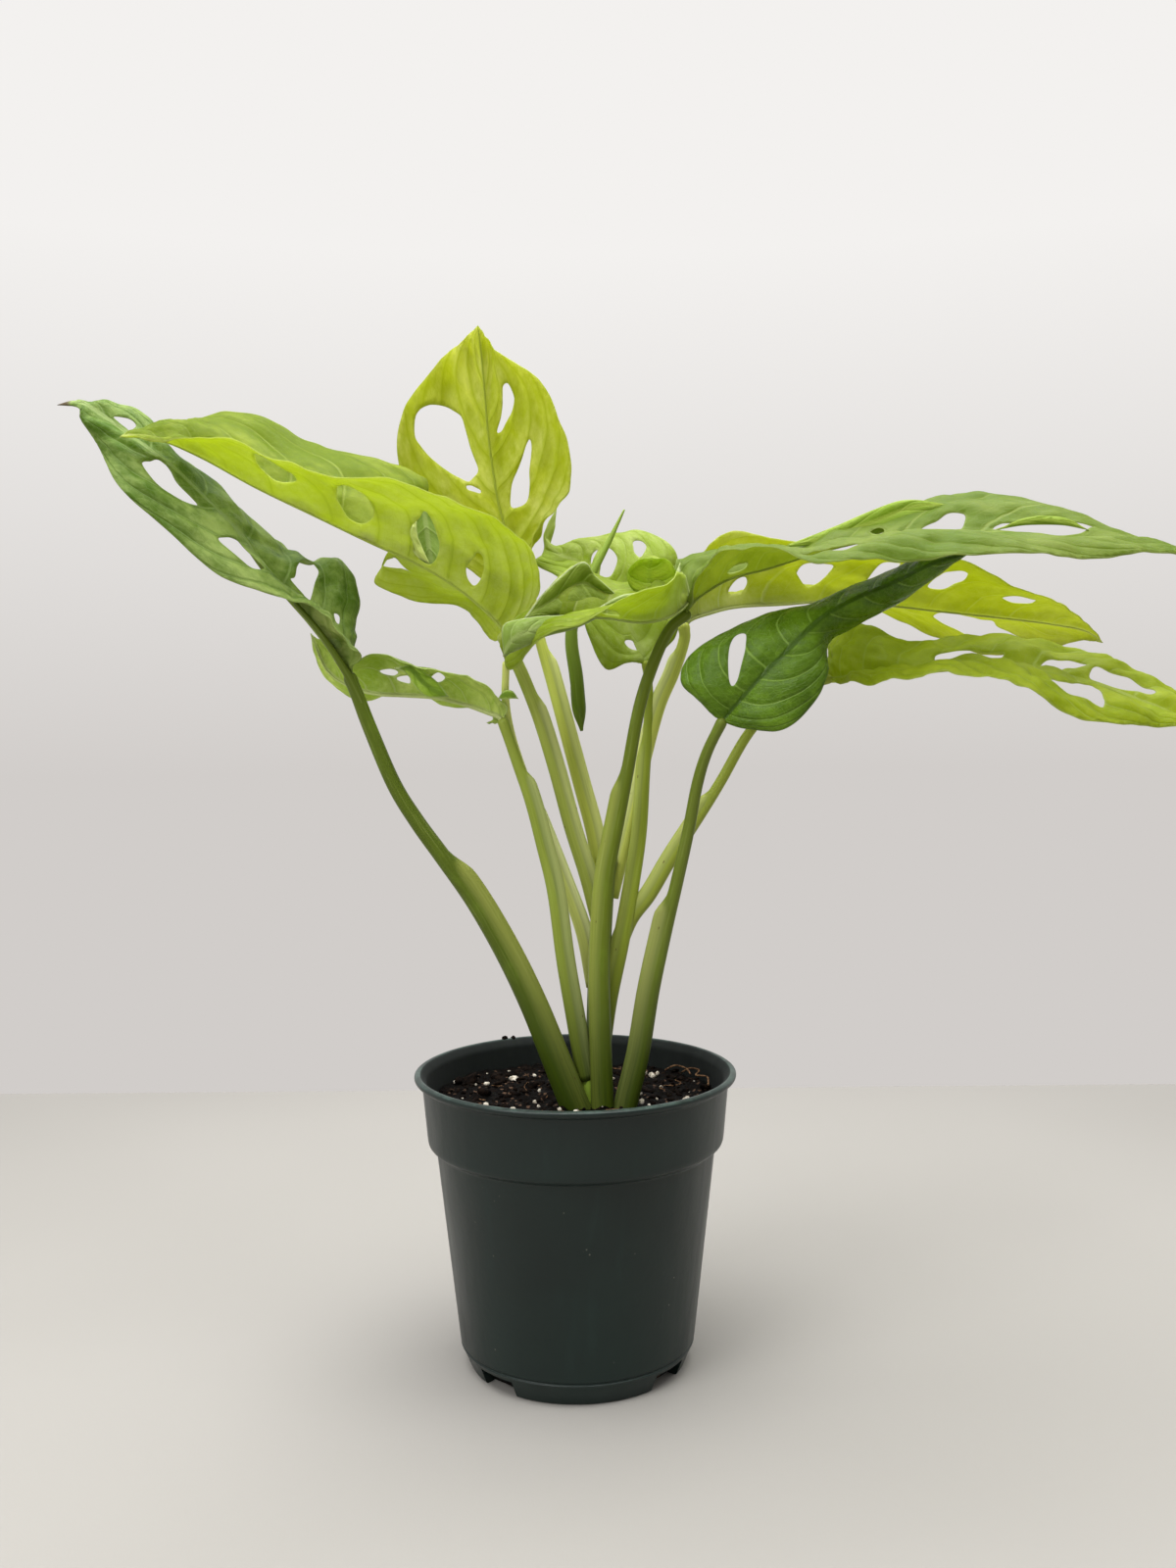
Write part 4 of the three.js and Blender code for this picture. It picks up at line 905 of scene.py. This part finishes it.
blade = Blade(
    [-65.1, -31.1, 398], [-61.4, -32.1, 370.9],
    rib=[[-63.9, -31.4, 389.3], [-62.7, -31.8, 379.7]],
    left=[[-72.2, -31.4, 388.5], [-69.7, -31.9, 378]],
    right=[[-56, -31.4, 389.2], [-55.7, -31.8, 378.7]],
)
make_fold("long_front_backing", "leaf_long_front", blade, finish, seed=30, quilt=0.5,
          wave=0.3, rib_radius=0.1)
skin = ("#a4b83c", "#ccd878", "#c4d070")
finish = leaf_finish("long_front_curl_skin", skin, skin, 9, "#dce49c", "#b4c83c")
blade = Blade(
    [-67.6, -36.3, 392.5], [-61.7, -37.1, 372.1],
    rib=[[-69.4, -36.6, 385.6], [-66.9, -36.9, 378.2]],
    left=[[-70.7, -36.6, 385.6], [-68.6, -36.9, 376.9]],
    right=[[-67.2, -36.6, 385.1], [-64.7, -36.8, 378.6]],
)
make_fold("long_front_curl", "leaf_long_front", blade, finish, seed=25, quilt=0.2,
          wave=0.2, rib_radius=0.2)


# Top leaf: a thin lime blade held up at the back, lit through, with four long holes and
# pillowed halves.
path = [[13, 1, 226], [9, 2, 250], [3, 4, 273], [-3, 6, 296], [-9, 9, 319], [-15, 12, 341],
        [-18, 14, 355], [-20, 14, 365]]
make_stalk("top_stalk", "petiole_top", path, 3.2, 2.4, ("#b6be54", "#d0d682", "#30450a"),
           reach=2.6, sheath_end=0.66)
blade = Blade(
    [-20, 14, 365], [-41, -17, 482],
    rib=[[-21, 14, 368], [-24, 13, 376], [-28, 12, 387], [-33, 9, 401], [-36, 5, 419],
         [-38, 0, 437], [-39, -5, 454], [-40, -11, 471]],
    left=[[-16, 14, 370], [-17, 8, 389], [-7, 2, 402], [0, -3, 420], [-4, -8, 438],
          [-16, -12, 458], [-31, -14, 469], [-37, -15, 476]],
    right=[[-34, 16, 367], [-53, 18, 379], [-72, 16, 400], [-82, 10, 427], [-78, 4, 448],
           [-65, -2, 465], [-53, -10, 474], [-45, -14, 479]],
)
holes = [
    [[557, 885], [579, 880], [598, 840], [609, 790], [621, 680], [628, 565], [629, 465],
     [609, 385], [583, 310], [570, 260], [551, 195], [536, 185], [512, 230], [486, 305],
     [479, 390], [476, 520], [487, 685], [504, 795], [519, 850]],
    [[731, -555], [726, -635], [711, -635], [686, -590], [674, -540], [660, -445], [652, -315],
     [642, -205], [651, -140], [672, -245], [695, -345], [719, -455]],
    [[578, -550], [565, -555], [541, -505], [508, -435], [476, -410], [439, -355], [430, -280],
     [444, -140], [479, -155], [508, -205], [530, -300], [551, -395], [570, -475]],
    [[468, 343], [479, 282], [481, 231], [479, 188], [467, 218], [463, 270], [460, 334]],
]
finish = leaf_finish("top_leaf", ("#98a824", "#dcde7c", "#8c9c2c"),
                     ("#a5b428", "#eaeb8c", "#94a433"), 16, "#c9d470", "#d3d944", shine=0.42,
                     glow_share=0.55, keel="#b8c458")
make_blade("top_blade", "leaf_top", blade, holes, finish, veins=10, quilt=1.3,
           wave=0.7, rib_radius=0.5, seed=3)


# Back centre leaf: a lime blade hanging behind the middle of the plant, darker where it is
# shaded, with an oval hole in its lower lobe.
path = [[13, -6, 146], [17, -8, 172], [23, -7, 199], [28, -5, 225], [32, -2, 250], [34, 0, 277],
        [36, 2, 305], [36, 4, 321], [35, 4, 329]]
make_stalk("back_centre_stalk", "petiole_back_centre", path, 3.3, 1.9,
           ("#93a133", "#acb755", "#253905"), reach=-2.2, sheath_end=0.68)
blade = Blade(
    [35, 4, 329], [-7, 36, 409],
    rib=[[34, 5, 332], [31, 9, 340], [26, 12, 351], [19, 16, 363], [11, 20, 373], [3, 24, 380],
         [-6, 28, 384], [-12, 32, 392], [-10, 34, 400]],
    left=[[28, 2, 330], [16, 0, 327], [8, 2, 342], [5, 6, 354], [0, 12, 366], [-8, 20, 373],
          [-18, 28, 380], [-14, 32, 387], [-12, 34, 397]],
    right=[[41, 9, 334], [50, 13, 347], [51, 17, 365], [50, 14, 384], [34, 24, 395], [14, 32, 394],
           [0, 34, 392], [-9, 33, 389], [-8, 34, 399]],
)
holes = [
    [[550, 381], [542, 241], [539, 101], [550, 151], [557, 291]],
    [[529, 460], [503, 440], [474, 385], [456, 295], [444, 165], [460, 90], [484, 57], [497, 135],
     [516, 290]],
    [[478, 700], [476, 770], [468, 800], [454, 780], [441, 710], [429, 585], [450, 580],
     [465, 635]],
    [[231, -280], [231, -175], [215, -84], [198, -88], [176, -100], [164, -112], [182, -215],
     [210, -275]],
]
finish = leaf_finish("back_centre_leaf", ("#8fa627", "#c3cf7c", "#a6b65a"),
                     ("#8c9d1b", "#afba3e", "#aab557"), 16, "#c2d27c", "#b0c224", shine=0.42,
                     glow_share=0.45)
make_blade("back_centre_blade", "leaf_back_centre", blade, holes, finish, veins=10,
           quilt=0.9, wave=0.9, rib_radius=0.7, seed=4)


# Curled leaf: a mid green blade rolled into a cup in the middle of the plant, with a pale band
# along its margin that is a painted highlight. Its front lobe, rim, back fold and the inside of
# the cup are small blades.
path = [[9, -4, 178], [4, -6, 204], [-5, -8, 230], [-13, -11, 252], [-22, -13, 276],
        [-28, -15, 296], [-30, -22, 312], [-29, -33, 328]]
make_stalk("curled_stalk", "petiole_curled", path, 3.6, 1.5, ("#d2da78", "#e6eca6", "#344b0b"),
           reach=1.4)
blade = Blade(
    [-29, -34, 329], [52, -22, 368],
    rib=[[-28, -37, 332], [-22, -41, 339], [-12, -44, 344], [1, -43, 348], [16, -40, 348],
         [32, -38, 346], [45, -34, 349], [53, -28, 356]],
    left=[[-30, -40, 337], [-27, -44, 345], [-15, -42, 357], [-3, -32, 368], [7, -16, 372],
          [26, -12, 367], [32, -8, 376], [43, -8, 378]],
    right=[[-27, -40, 325], [-21, -50, 332], [-9, -58, 340], [4, -58, 344], [18, -58, 351],
           [31, -56, 356], [43, -50, 360], [48, -40, 367]],
)
holes = [
    [[535, 345], [550, 410], [576, 275], [593, 115], [581, 101], [556, 103], [540, 175]],
]
# The pale edge colours of this leaf, its front lobe and its back fold are a painted highlight
# along their rims.
finish = leaf_finish("curled_leaf", ("#798e10", "#a9b94b", "#adb568"),
                     ("#899d1e", "#bdcd6c", "#b4c07a"), 12, "#c9d684", "#cad91b", shine=0.42,
                     glow_share=0.5)
make_blade("curled_blade", "leaf_curled", blade, holes, finish, veins=9, quilt=0.6,
           wave=1.2, rib_radius=0.9, seed=5)
finish = leaf_finish("curled_front_skin", ("#86a040", "#b4c67c", "#a9bc6c"),
                     ("#82982e", "#aabc5c", "#a9b45c"), 9, "#e6ecc0", "#a8c030", shine=0.38,
                     glow_share=0.35)
blade = Blade(
    [-28.5, -57.9, 330.2], [25.3, -32.5, 354.5],
    rib=[[-24.2, -57.5, 337.7], [-12.6, -51.5, 343], [6, -42, 347.4]],
    left=[[-28.3, -57.4, 344], [-15.6, -50.7, 347.3], [4.3, -41.8, 349.6]],
    right=[[-25.2, -56.2, 331.9], [-12.7, -49.6, 338.1], [6, -41.1, 344.9]],
)
make_fold("curled_front_lobe", "leaf_curled", blade, finish, seed=21, veins=5,
          quilt=0.3, wave=0.3)
blade = Blade(
    [6.9, -42.6, 348.2], [49.5, -24.4, 373.5],
    rib=[[21.7, -38.1, 356.2], [37.5, -32.4, 358.8], [46.6, -28, 364.4]],
    left=[[21.7, -38.1, 357.5], [37.1, -32.6, 360.1], [45.2, -28.6, 365.2]],
    right=[[22.1, -37, 354.6], [38, -31.3, 357.2], [48.5, -26.2, 363.2]],
)
make_fold("curled_cup_rim", "leaf_curled", blade, finish, seed=22)
finish = leaf_finish("curled_inner_skin", ("#687c1c", "#90a43c", "#98ac4c"),
                     ("#74881e", "#94a840", "#98ac4c"), 8, "#eef2cc", "#98b01c", glow_share=0.35)
blade = Blade(
    [-20.2, -51.1, 346.5], [25.3, -30.5, 354.3],
    rib=[[-6.8, -43, 356], [4.4, -37.2, 363.3], [14.4, -33.5, 359.7]],
    left=[[-10.1, -46.5, 359.9], [4.5, -39.9, 372.1], [11.4, -36.8, 366.4]],
    right=[[-8.5, -46.1, 348.1], [3.5, -41.2, 349.7], [15.6, -35.2, 352.2]],
)
make_fold("curled_back_fold", "leaf_curled", blade, finish, seed=23, veins=4,
          quilt=0.4, wave=0.2)
skin = ("#8aa414", "#aabc30", "#98b02c")
finish = leaf_finish("curled_cup_skin", skin, skin, 8, "#5c7c14", "#b4cc1c", glow_share=0.5)
blade = Blade(
    [35.5, -28.2, 357.9], [36.5, -28.5, 375.3],
    rib=[[35.2, -27, 362.4], [35.2, -26.8, 367.2], [35.7, -27.6, 372]],
    left=[[28.9, -29.1, 360.1], [25.4, -29.8, 366.1], [28.6, -29.6, 372.7]],
    right=[[43, -29.1, 359.9], [46.9, -29.8, 365.9], [44.3, -29.6, 372.5]],
    arch=-0.15,
)
make_fold("curled_cup", "leaf_curled", blade, finish, seed=24, quilt=0.5, wave=0.3,
          rib_radius=0.05)


# Low left leaf: a mid green blade below the far left one, with dark impressed veins.
# A fold of its near half and a curl at its base lie on it.
path = [[4, -14, 136], [0, -16, 161], [-5, -18, 192], [-9, -20, 224], [-14, -21, 246],
        [-19, -22, 266], [-25, -22, 284], [-31, -22, 302]]
make_stalk("low_left_stalk", "petiole_low_left", path, 3.4, 2.4, ("#8b993a", "#a4ae67", "#253807"),
           reach=2.6, sheath_end=0.8)
blade = Blade(
    [-31, -22, 302], [-120, -12, 344],
    rib=[[-33, -22, 305], [-38, -22, 307], [-49, -22, 311], [-62, -21, 314], [-76, -18, 315],
         [-91, -12, 316], [-104, -8, 320], [-114, -9, 328]],
    left=[[-31, -26, 310], [-37, -32, 318], [-48, -36, 319], [-60, -38, 324], [-73, -36, 329],
          [-89, -27, 333], [-103, -18, 332], [-111, -12, 334]],
    right=[[-34, -18, 302], [-38, -10, 305], [-49, -2, 309], [-63, 4, 313], [-80, 8, 315],
           [-96, 10, 316], [-110, 8, 319], [-119, 2, 328]],
)
holes = [
    [[655, -526], [619, -599], [592, -518], [608, -405], [642, -427]],
    [[596, -364], [576, -447], [549, -465], [545, -267], [568, -276], [590, -306]],
    [[469, -515], [440, -830], [415, -685], [435, -430], [463, -400]],
]
finish = leaf_finish("low_left_leaf", ("#7d9f24", "#bcd860", "#5f7c28"),
                     ("#92b134", "#e4f08c", "#d5dd9a"), 14, "#e6efb4", "#cde145", glow_share=0.38)
make_blade("low_left_blade", "leaf_low_left", blade, holes, finish, veins=9,
           quilt=1.2, wave=1.9, rib_radius=0.9, seed=6)
blade = Blade(
    [-79, -32.4, 326.7], [-54.6, -32.9, 313.8],
    rib=[[-71.6, -32.4, 326.2], [-66.8, -32.6, 321.3], [-61.6, -32.8, 316.9]],
    left=[[-70.7, -32.4, 327.9], [-63.7, -32.5, 323.5], [-58.5, -32.7, 319.1]],
    right=[[-73.4, -32.5, 324], [-69.9, -32.7, 318.7], [-64.3, -32.9, 313.9]],
)
make_fold("low_left_fold", "leaf_low_left", blade, finish, seed=29)
blade = Blade(
    [-33, -29.5, 312.8], [-23.8, -29.5, 312.7],
    rib=[[-30.3, -29.4, 314.5], [-26.8, -29.4, 314.5]],
    left=[[-30.3, -29.3, 316.3], [-26.4, -29.3, 316.3]],
    right=[[-29.9, -29.5, 312.3], [-26.8, -29.5, 312.8]],
)
make_fold("low_left_curl", "leaf_low_left", blade, finish, seed=28)


# Upper right leaf: a broad grey green blade reaching out to the right on a stout stalk, with
# five holes. Its far margin turns up in a long fold and in a short lip.
path = [[14, -18, 108], [14, -18, 124], [13, -17, 169], [13, -16, 190], [14, -16, 212],
        [16, -16, 233], [21, -17, 258], [25, -18, 278], [31, -19, 309], [38, -20, 330],
        [45, -21, 344], [52, -22, 350]]
make_stalk("upper_right_stalk", "petiole_upper_right", path, 4, 2.4,
           ("#64731b", "#8d9740", "#243603"), reach=-2.8, sheath_end=0.62)
blade = Blade(
    [52, -22, 350], [274, -48, 372],
    rib=[[53, -23, 353], [59, -25, 359], [72, -29, 366], [89, -33, 370], [109, -36, 376],
         [132, -38, 381], [157, -40, 384], [184, -42, 383], [213, -44, 380], [243, -46, 376]],
    left=[[48, -14, 372], [53, -10, 378], [72, -8, 381], [99, -6, 382], [123, -4, 388],
          [152, -2, 396], [180, 2, 404], [210, 0, 405], [237, -10, 393], [256, -28, 381]],
    right=[[55, -32, 356], [57, -46, 366], [68, -60, 375], [86, -68, 375], [105, -72, 367],
           [128, -74, 368], [154, -74, 370], [184, -72, 370], [216, -66, 370], [245, -58, 371]],
)
holes = [
    [[625, -50], [638, -115], [656, -210], [679, -225], [685, -125], [684, -35], [671, -35],
     [664, -36], [652, -36], [636, -37]],
    [[729, -50], [733, -105], [751, -170], [843, -360], [848, -285], [841, -130], [818, -45],
     [792, -40], [768, -37], [754, -36], [743, -36]],
    [[424, 850], [471, 585], [526, 660], [516, 720], [495, 770], [458, 770]],
    [[542, -130], [551, -170], [565, -115], [565, -60], [550, -75]],
    [[269, 145], [291, 205], [314, 185], [310, 100], [289, 57], [269, 80]],
]
finish = leaf_finish("upper_right_leaf", ("#5c7619", "#809042", "#95a254"),
                     ("#80961e", "#b0bc43", "#b4c062"), 18, "#b4c27c", "#bac815", shine=0.42,
                     glow_share=0.45, keel="#9cac50")
make_blade("upper_right_blade", "leaf_upper_right", blade, holes, finish, veins=11,
           quilt=0.9, wave=0.9, rib_radius=0.5, seed=7)
skin = ("#82a022", "#a8c050", "#a8bc48")
finish = leaf_finish("upper_right_fold_skin", skin, skin, 10, "#b8c860", "#9cb824", glow_share=0.4)
blade = Blade(
    [94.7, -29.8, 379.5], [169.3, -29.1, 397.7],
    rib=[[117.5, -29.6, 384.1], [137.3, -29.3, 390.9], [153.5, -29.1, 396.9]],
    left=[[115.4, -29.5, 387.2], [135.1, -29.2, 395.3], [150.5, -29, 400]],
    right=[[119.7, -29.8, 380.6], [141.6, -29.5, 386.1], [159.2, -29.3, 392.9]],
)
make_fold("upper_right_fold", "leaf_upper_right", blade, finish, seed=26)
blade = Blade(
    [187, -40.6, 384.6], [227.8, -40.6, 384.2],
    rib=[[199.5, -40.5, 388.3], [215.8, -40.5, 388.2]],
    left=[[200.8, -40.4, 390], [216.7, -40.4, 389.9]],
    right=[[199.9, -40.5, 386.6], [216.2, -40.5, 386.5]],
)
make_fold("upper_right_lip", "leaf_upper_right", blade, finish, seed=27)


# Lime right leaf: a lime blade whose lower side faces the front, with lighter veins and six
# holes in two rows.
path = [[18, 3, 219], [27, 3, 255], [34, 3, 284], [41, 3, 309], [48, 3, 325], [53, 3, 340],
        [53, 2, 346]]
make_stalk("lime_right_stalk", "petiole_lime_right", path, 3.3, 2.6,
           ("#c8d062", "#e2e896", "#344b0b"), reach=-2, sheath_end=0.75)
blade = Blade(
    [53, 2, 346], [266, 45, 340],
    rib=[[56, 4, 350], [64, 8, 353], [79, 16, 357], [103, 26, 359], [130, 34, 361], [159, 40, 359],
         [187, 44, 356], [215, 46, 353], [239, 47, 350], [258, 46, 346]],
    left=[[52, 12, 353], [59, 26, 357], [77, 44, 364], [106, 60, 369], [138, 70, 369],
          [170, 76, 355], [196, 78, 344], [218, 74, 336], [240, 64, 337], [259, 52, 342]],
    right=[[58, 2, 365], [62, 6, 383], [77, 6, 392], [98, 4, 388], [123, 4, 383], [153, 6, 381],
           [183, 10, 378], [211, 18, 366], [238, 28, 360], [254, 38, 350]],
)
holes = [
    [[264, 205], [283, 330], [302, 365], [305, 280], [292, 180], [270, 165]],
    [[399, 430], [416, 610], [456, 585], [449, 430], [434, 275], [416, 205], [409, 210],
     [400, 355]],
    [[504, 295], [519, 500], [539, 685], [556, 740], [554, 565], [537, 420], [520, 310]],
    [[604, 295], [613, 450], [628, 635], [650, 755], [661, 705], [660, 545], [644, 410],
     [625, 300]],
    [[725, 410], [743, 550], [769, 670], [781, 635], [776, 460], [753, 335], [735, 335]],
    [[614, -510], [628, -295], [650, -235], [688, -155], [716, -190], [731, -380], [765, -555],
     [791, -670], [796, -810], [756, -760], [701, -750], [645, -670], [618, -600]],
]
finish = leaf_finish("lime_right_leaf", ("#96a220", "#b8bc48", "#b2bc54"),
                     ("#9daa2f", "#d3d584", "#d7dba7"), 16, "#d2dc88", "#cad225", shine=0.42,
                     glow_share=0.6)
make_blade("lime_right_blade", "leaf_lime_right", blade, holes, finish, veins=12,
           quilt=0.8, wave=0.6, rib_radius=0.6, seed=8)


# Glossy leaf: an older, deep green blade with a hard shine, pale side veins, a midrib painted
# dark as the shade in its sunken groove, and one hole.
path = [[22, -16, 108], [25, -18, 124], [31, -20, 149], [36, -22, 179], [42, -24, 207],
        [47, -27, 229], [52, -30, 252], [56, -34, 274], [60, -38, 288], [66, -42, 301]]
make_stalk("glossy_stalk", "petiole_glossy", path, 3.7, 2.3, ("#647223", "#929951", "#273906"),
           reach=-4)
blade = Blade(
    [66, -42, 302], [185, -12, 379],
    rib=[[69, -43, 305], [74, -46, 311], [82, -49, 320], [92, -50, 330], [102, -49, 340],
         [113, -45, 349], [129, -38, 357], [146, -30, 364], [163, -22, 372]],
    left=[[60, -42, 307], [49, -40, 319], [52, -36, 330], [64, -32, 340], [85, -28, 349],
          [107, -24, 353], [127, -14, 361], [146, -8, 369], [165, -6, 377]],
    right=[[74, -46, 299], [91, -52, 298], [104, -54, 308], [111, -52, 321], [112, -46, 332],
           [117, -34, 339], [133, -22, 346], [151, -12, 355], [170, -6, 369]],
)
holes = [
    [[354, -550], [404, -690], [425, -680], [417, -560], [367, -380], [284, -225], [249, -215],
     [260, -285], [304, -410]],
]
# Painted shade: the dark keel colour stands for the shade in the midrib's sunken groove.
finish = leaf_finish("glossy_leaf", ("#44620c", "#6d901c", "#8faf4a"),
                     ("#7c9418", "#b8cc50", "#a8bc5c"), 14, "#739048", "#7c9c14", shine=0.26,
                     glow_share=0.22, keel="#3a560e")
make_blade("glossy_blade", "leaf_glossy", blade, holes, finish, veins=10, quilt=0.4,
           wave=0.2, rib_radius=0.8, seed=9)


# Low right leaf: a lime to olive blade at the lower right, with three long slots beside its
# midrib, one wide hole and a light edge.
path = [[20, -3, 192], [27, -4, 209], [36, -5, 221], [46, -6, 238], [57, -7, 255], [64, -8, 266],
        [70, -9, 276], [81, -9, 295], [94, -9, 310], [108, -8, 318], [119, -8, 321]]
make_stalk("low_right_stalk", "petiole_low_right", path, 3.2, 2, ("#94a039", "#b1ba61", "#273b05"),
           reach=-2.4)
blade = Blade(
    [119, -8, 321], [290, -34, 293],
    rib=[[123, -9, 321], [131, -11, 322], [144, -14, 323], [160, -17, 324], [178, -20, 325],
         [197, -23, 323], [216, -26, 321], [237, -28, 317], [256, -30, 309], [274, -32, 301]],
    left=[[120, 4, 330], [125, 16, 340], [140, 24, 347], [162, 30, 338], [189, 34, 339],
          [213, 34, 340], [236, 28, 335], [254, 16, 329], [265, 0, 321], [279, -16, 310]],
    right=[[124, -18, 319], [132, -32, 318], [143, -44, 319], [155, -54, 321], [171, -60, 320],
           [187, -62, 318], [202, -62, 311], [220, -58, 300], [243, -52, 299], [268, -44, 298]],
)
holes = [
    [[403, -215], [416, -245], [476, -235], [534, -230], [530, -180], [476, -100], [430, -65],
     [405, -95]],
    [[616, -150], [629, -225], [657, -280], [699, -260], [671, -175], [650, -115], [625, -110]],
    [[708, -165], [714, -245], [743, -250], [797, -370], [838, -315], [835, -195], [801, -105],
     [761, -45], [724, -40], [709, -65]],
    [[639, 685], [674, 505], [714, 275], [738, 420], [750, 585], [749, 680], [730, 690],
     [700, 715], [666, 740]],
]
finish = leaf_finish("low_right_leaf", ("#879908", "#b1bc38", "#b4c068"),
                     ("#93a408", "#bcc83e", "#c4cc60"), 15, "#d0da8c", "#cedd08", shine=0.42,
                     glow_share=0.5)
make_blade("low_right_blade", "leaf_low_right", blade, holes, finish, veins=11,
           quilt=1.3, wave=0.7, rib_radius=0.9, seed=10)


# New leaf: the youngest leaf, still rolled into a tapering spear with a thread-like tip.
# The roll shows as slanting grooves, darkened as painted shade, round its darker lower part.
path = [[4.4, 2, 298], [3.2, 1, 309], [2, -1, 324], [0, -4, 340], [2, -6, 353], [10, -7, 371],
        [18, -7, 386], [25, -8, 400]]


def spear_section(share, angle):
    """A ring of the roll, whose outer edge winds round it as a shallow groove."""
    groove = math.exp(-((angle + share * 14) % (2 * math.pi) / 0.5) ** 2)
    radius = (0.4 + 3.0 * (1 - share ** 2.4) * smoothstep(-0.04, 0.16, share)) / 1000
    radius *= 1 - 0.12 * groove
    # The groove's share is also the crease mark, which the finish darkens as painted shade.
    return radius * math.cos(angle), radius * math.sin(angle), share, groove


bm = bmesh.new()
line = smooth_line(path, np.linspace(0, 1, 90))
tube(bm, line, stalk_sides, Vector((1, 0, 0)), spear_section, ("wing", "crease_shade"))
finish = stalk_finish("furled_leaf", "#586e12", "#88a03c", "#405612", shine=0.4)
spear = object_from(bm, "furled_new_leaf", finish)
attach(spear, "root")
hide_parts("new_leaf")
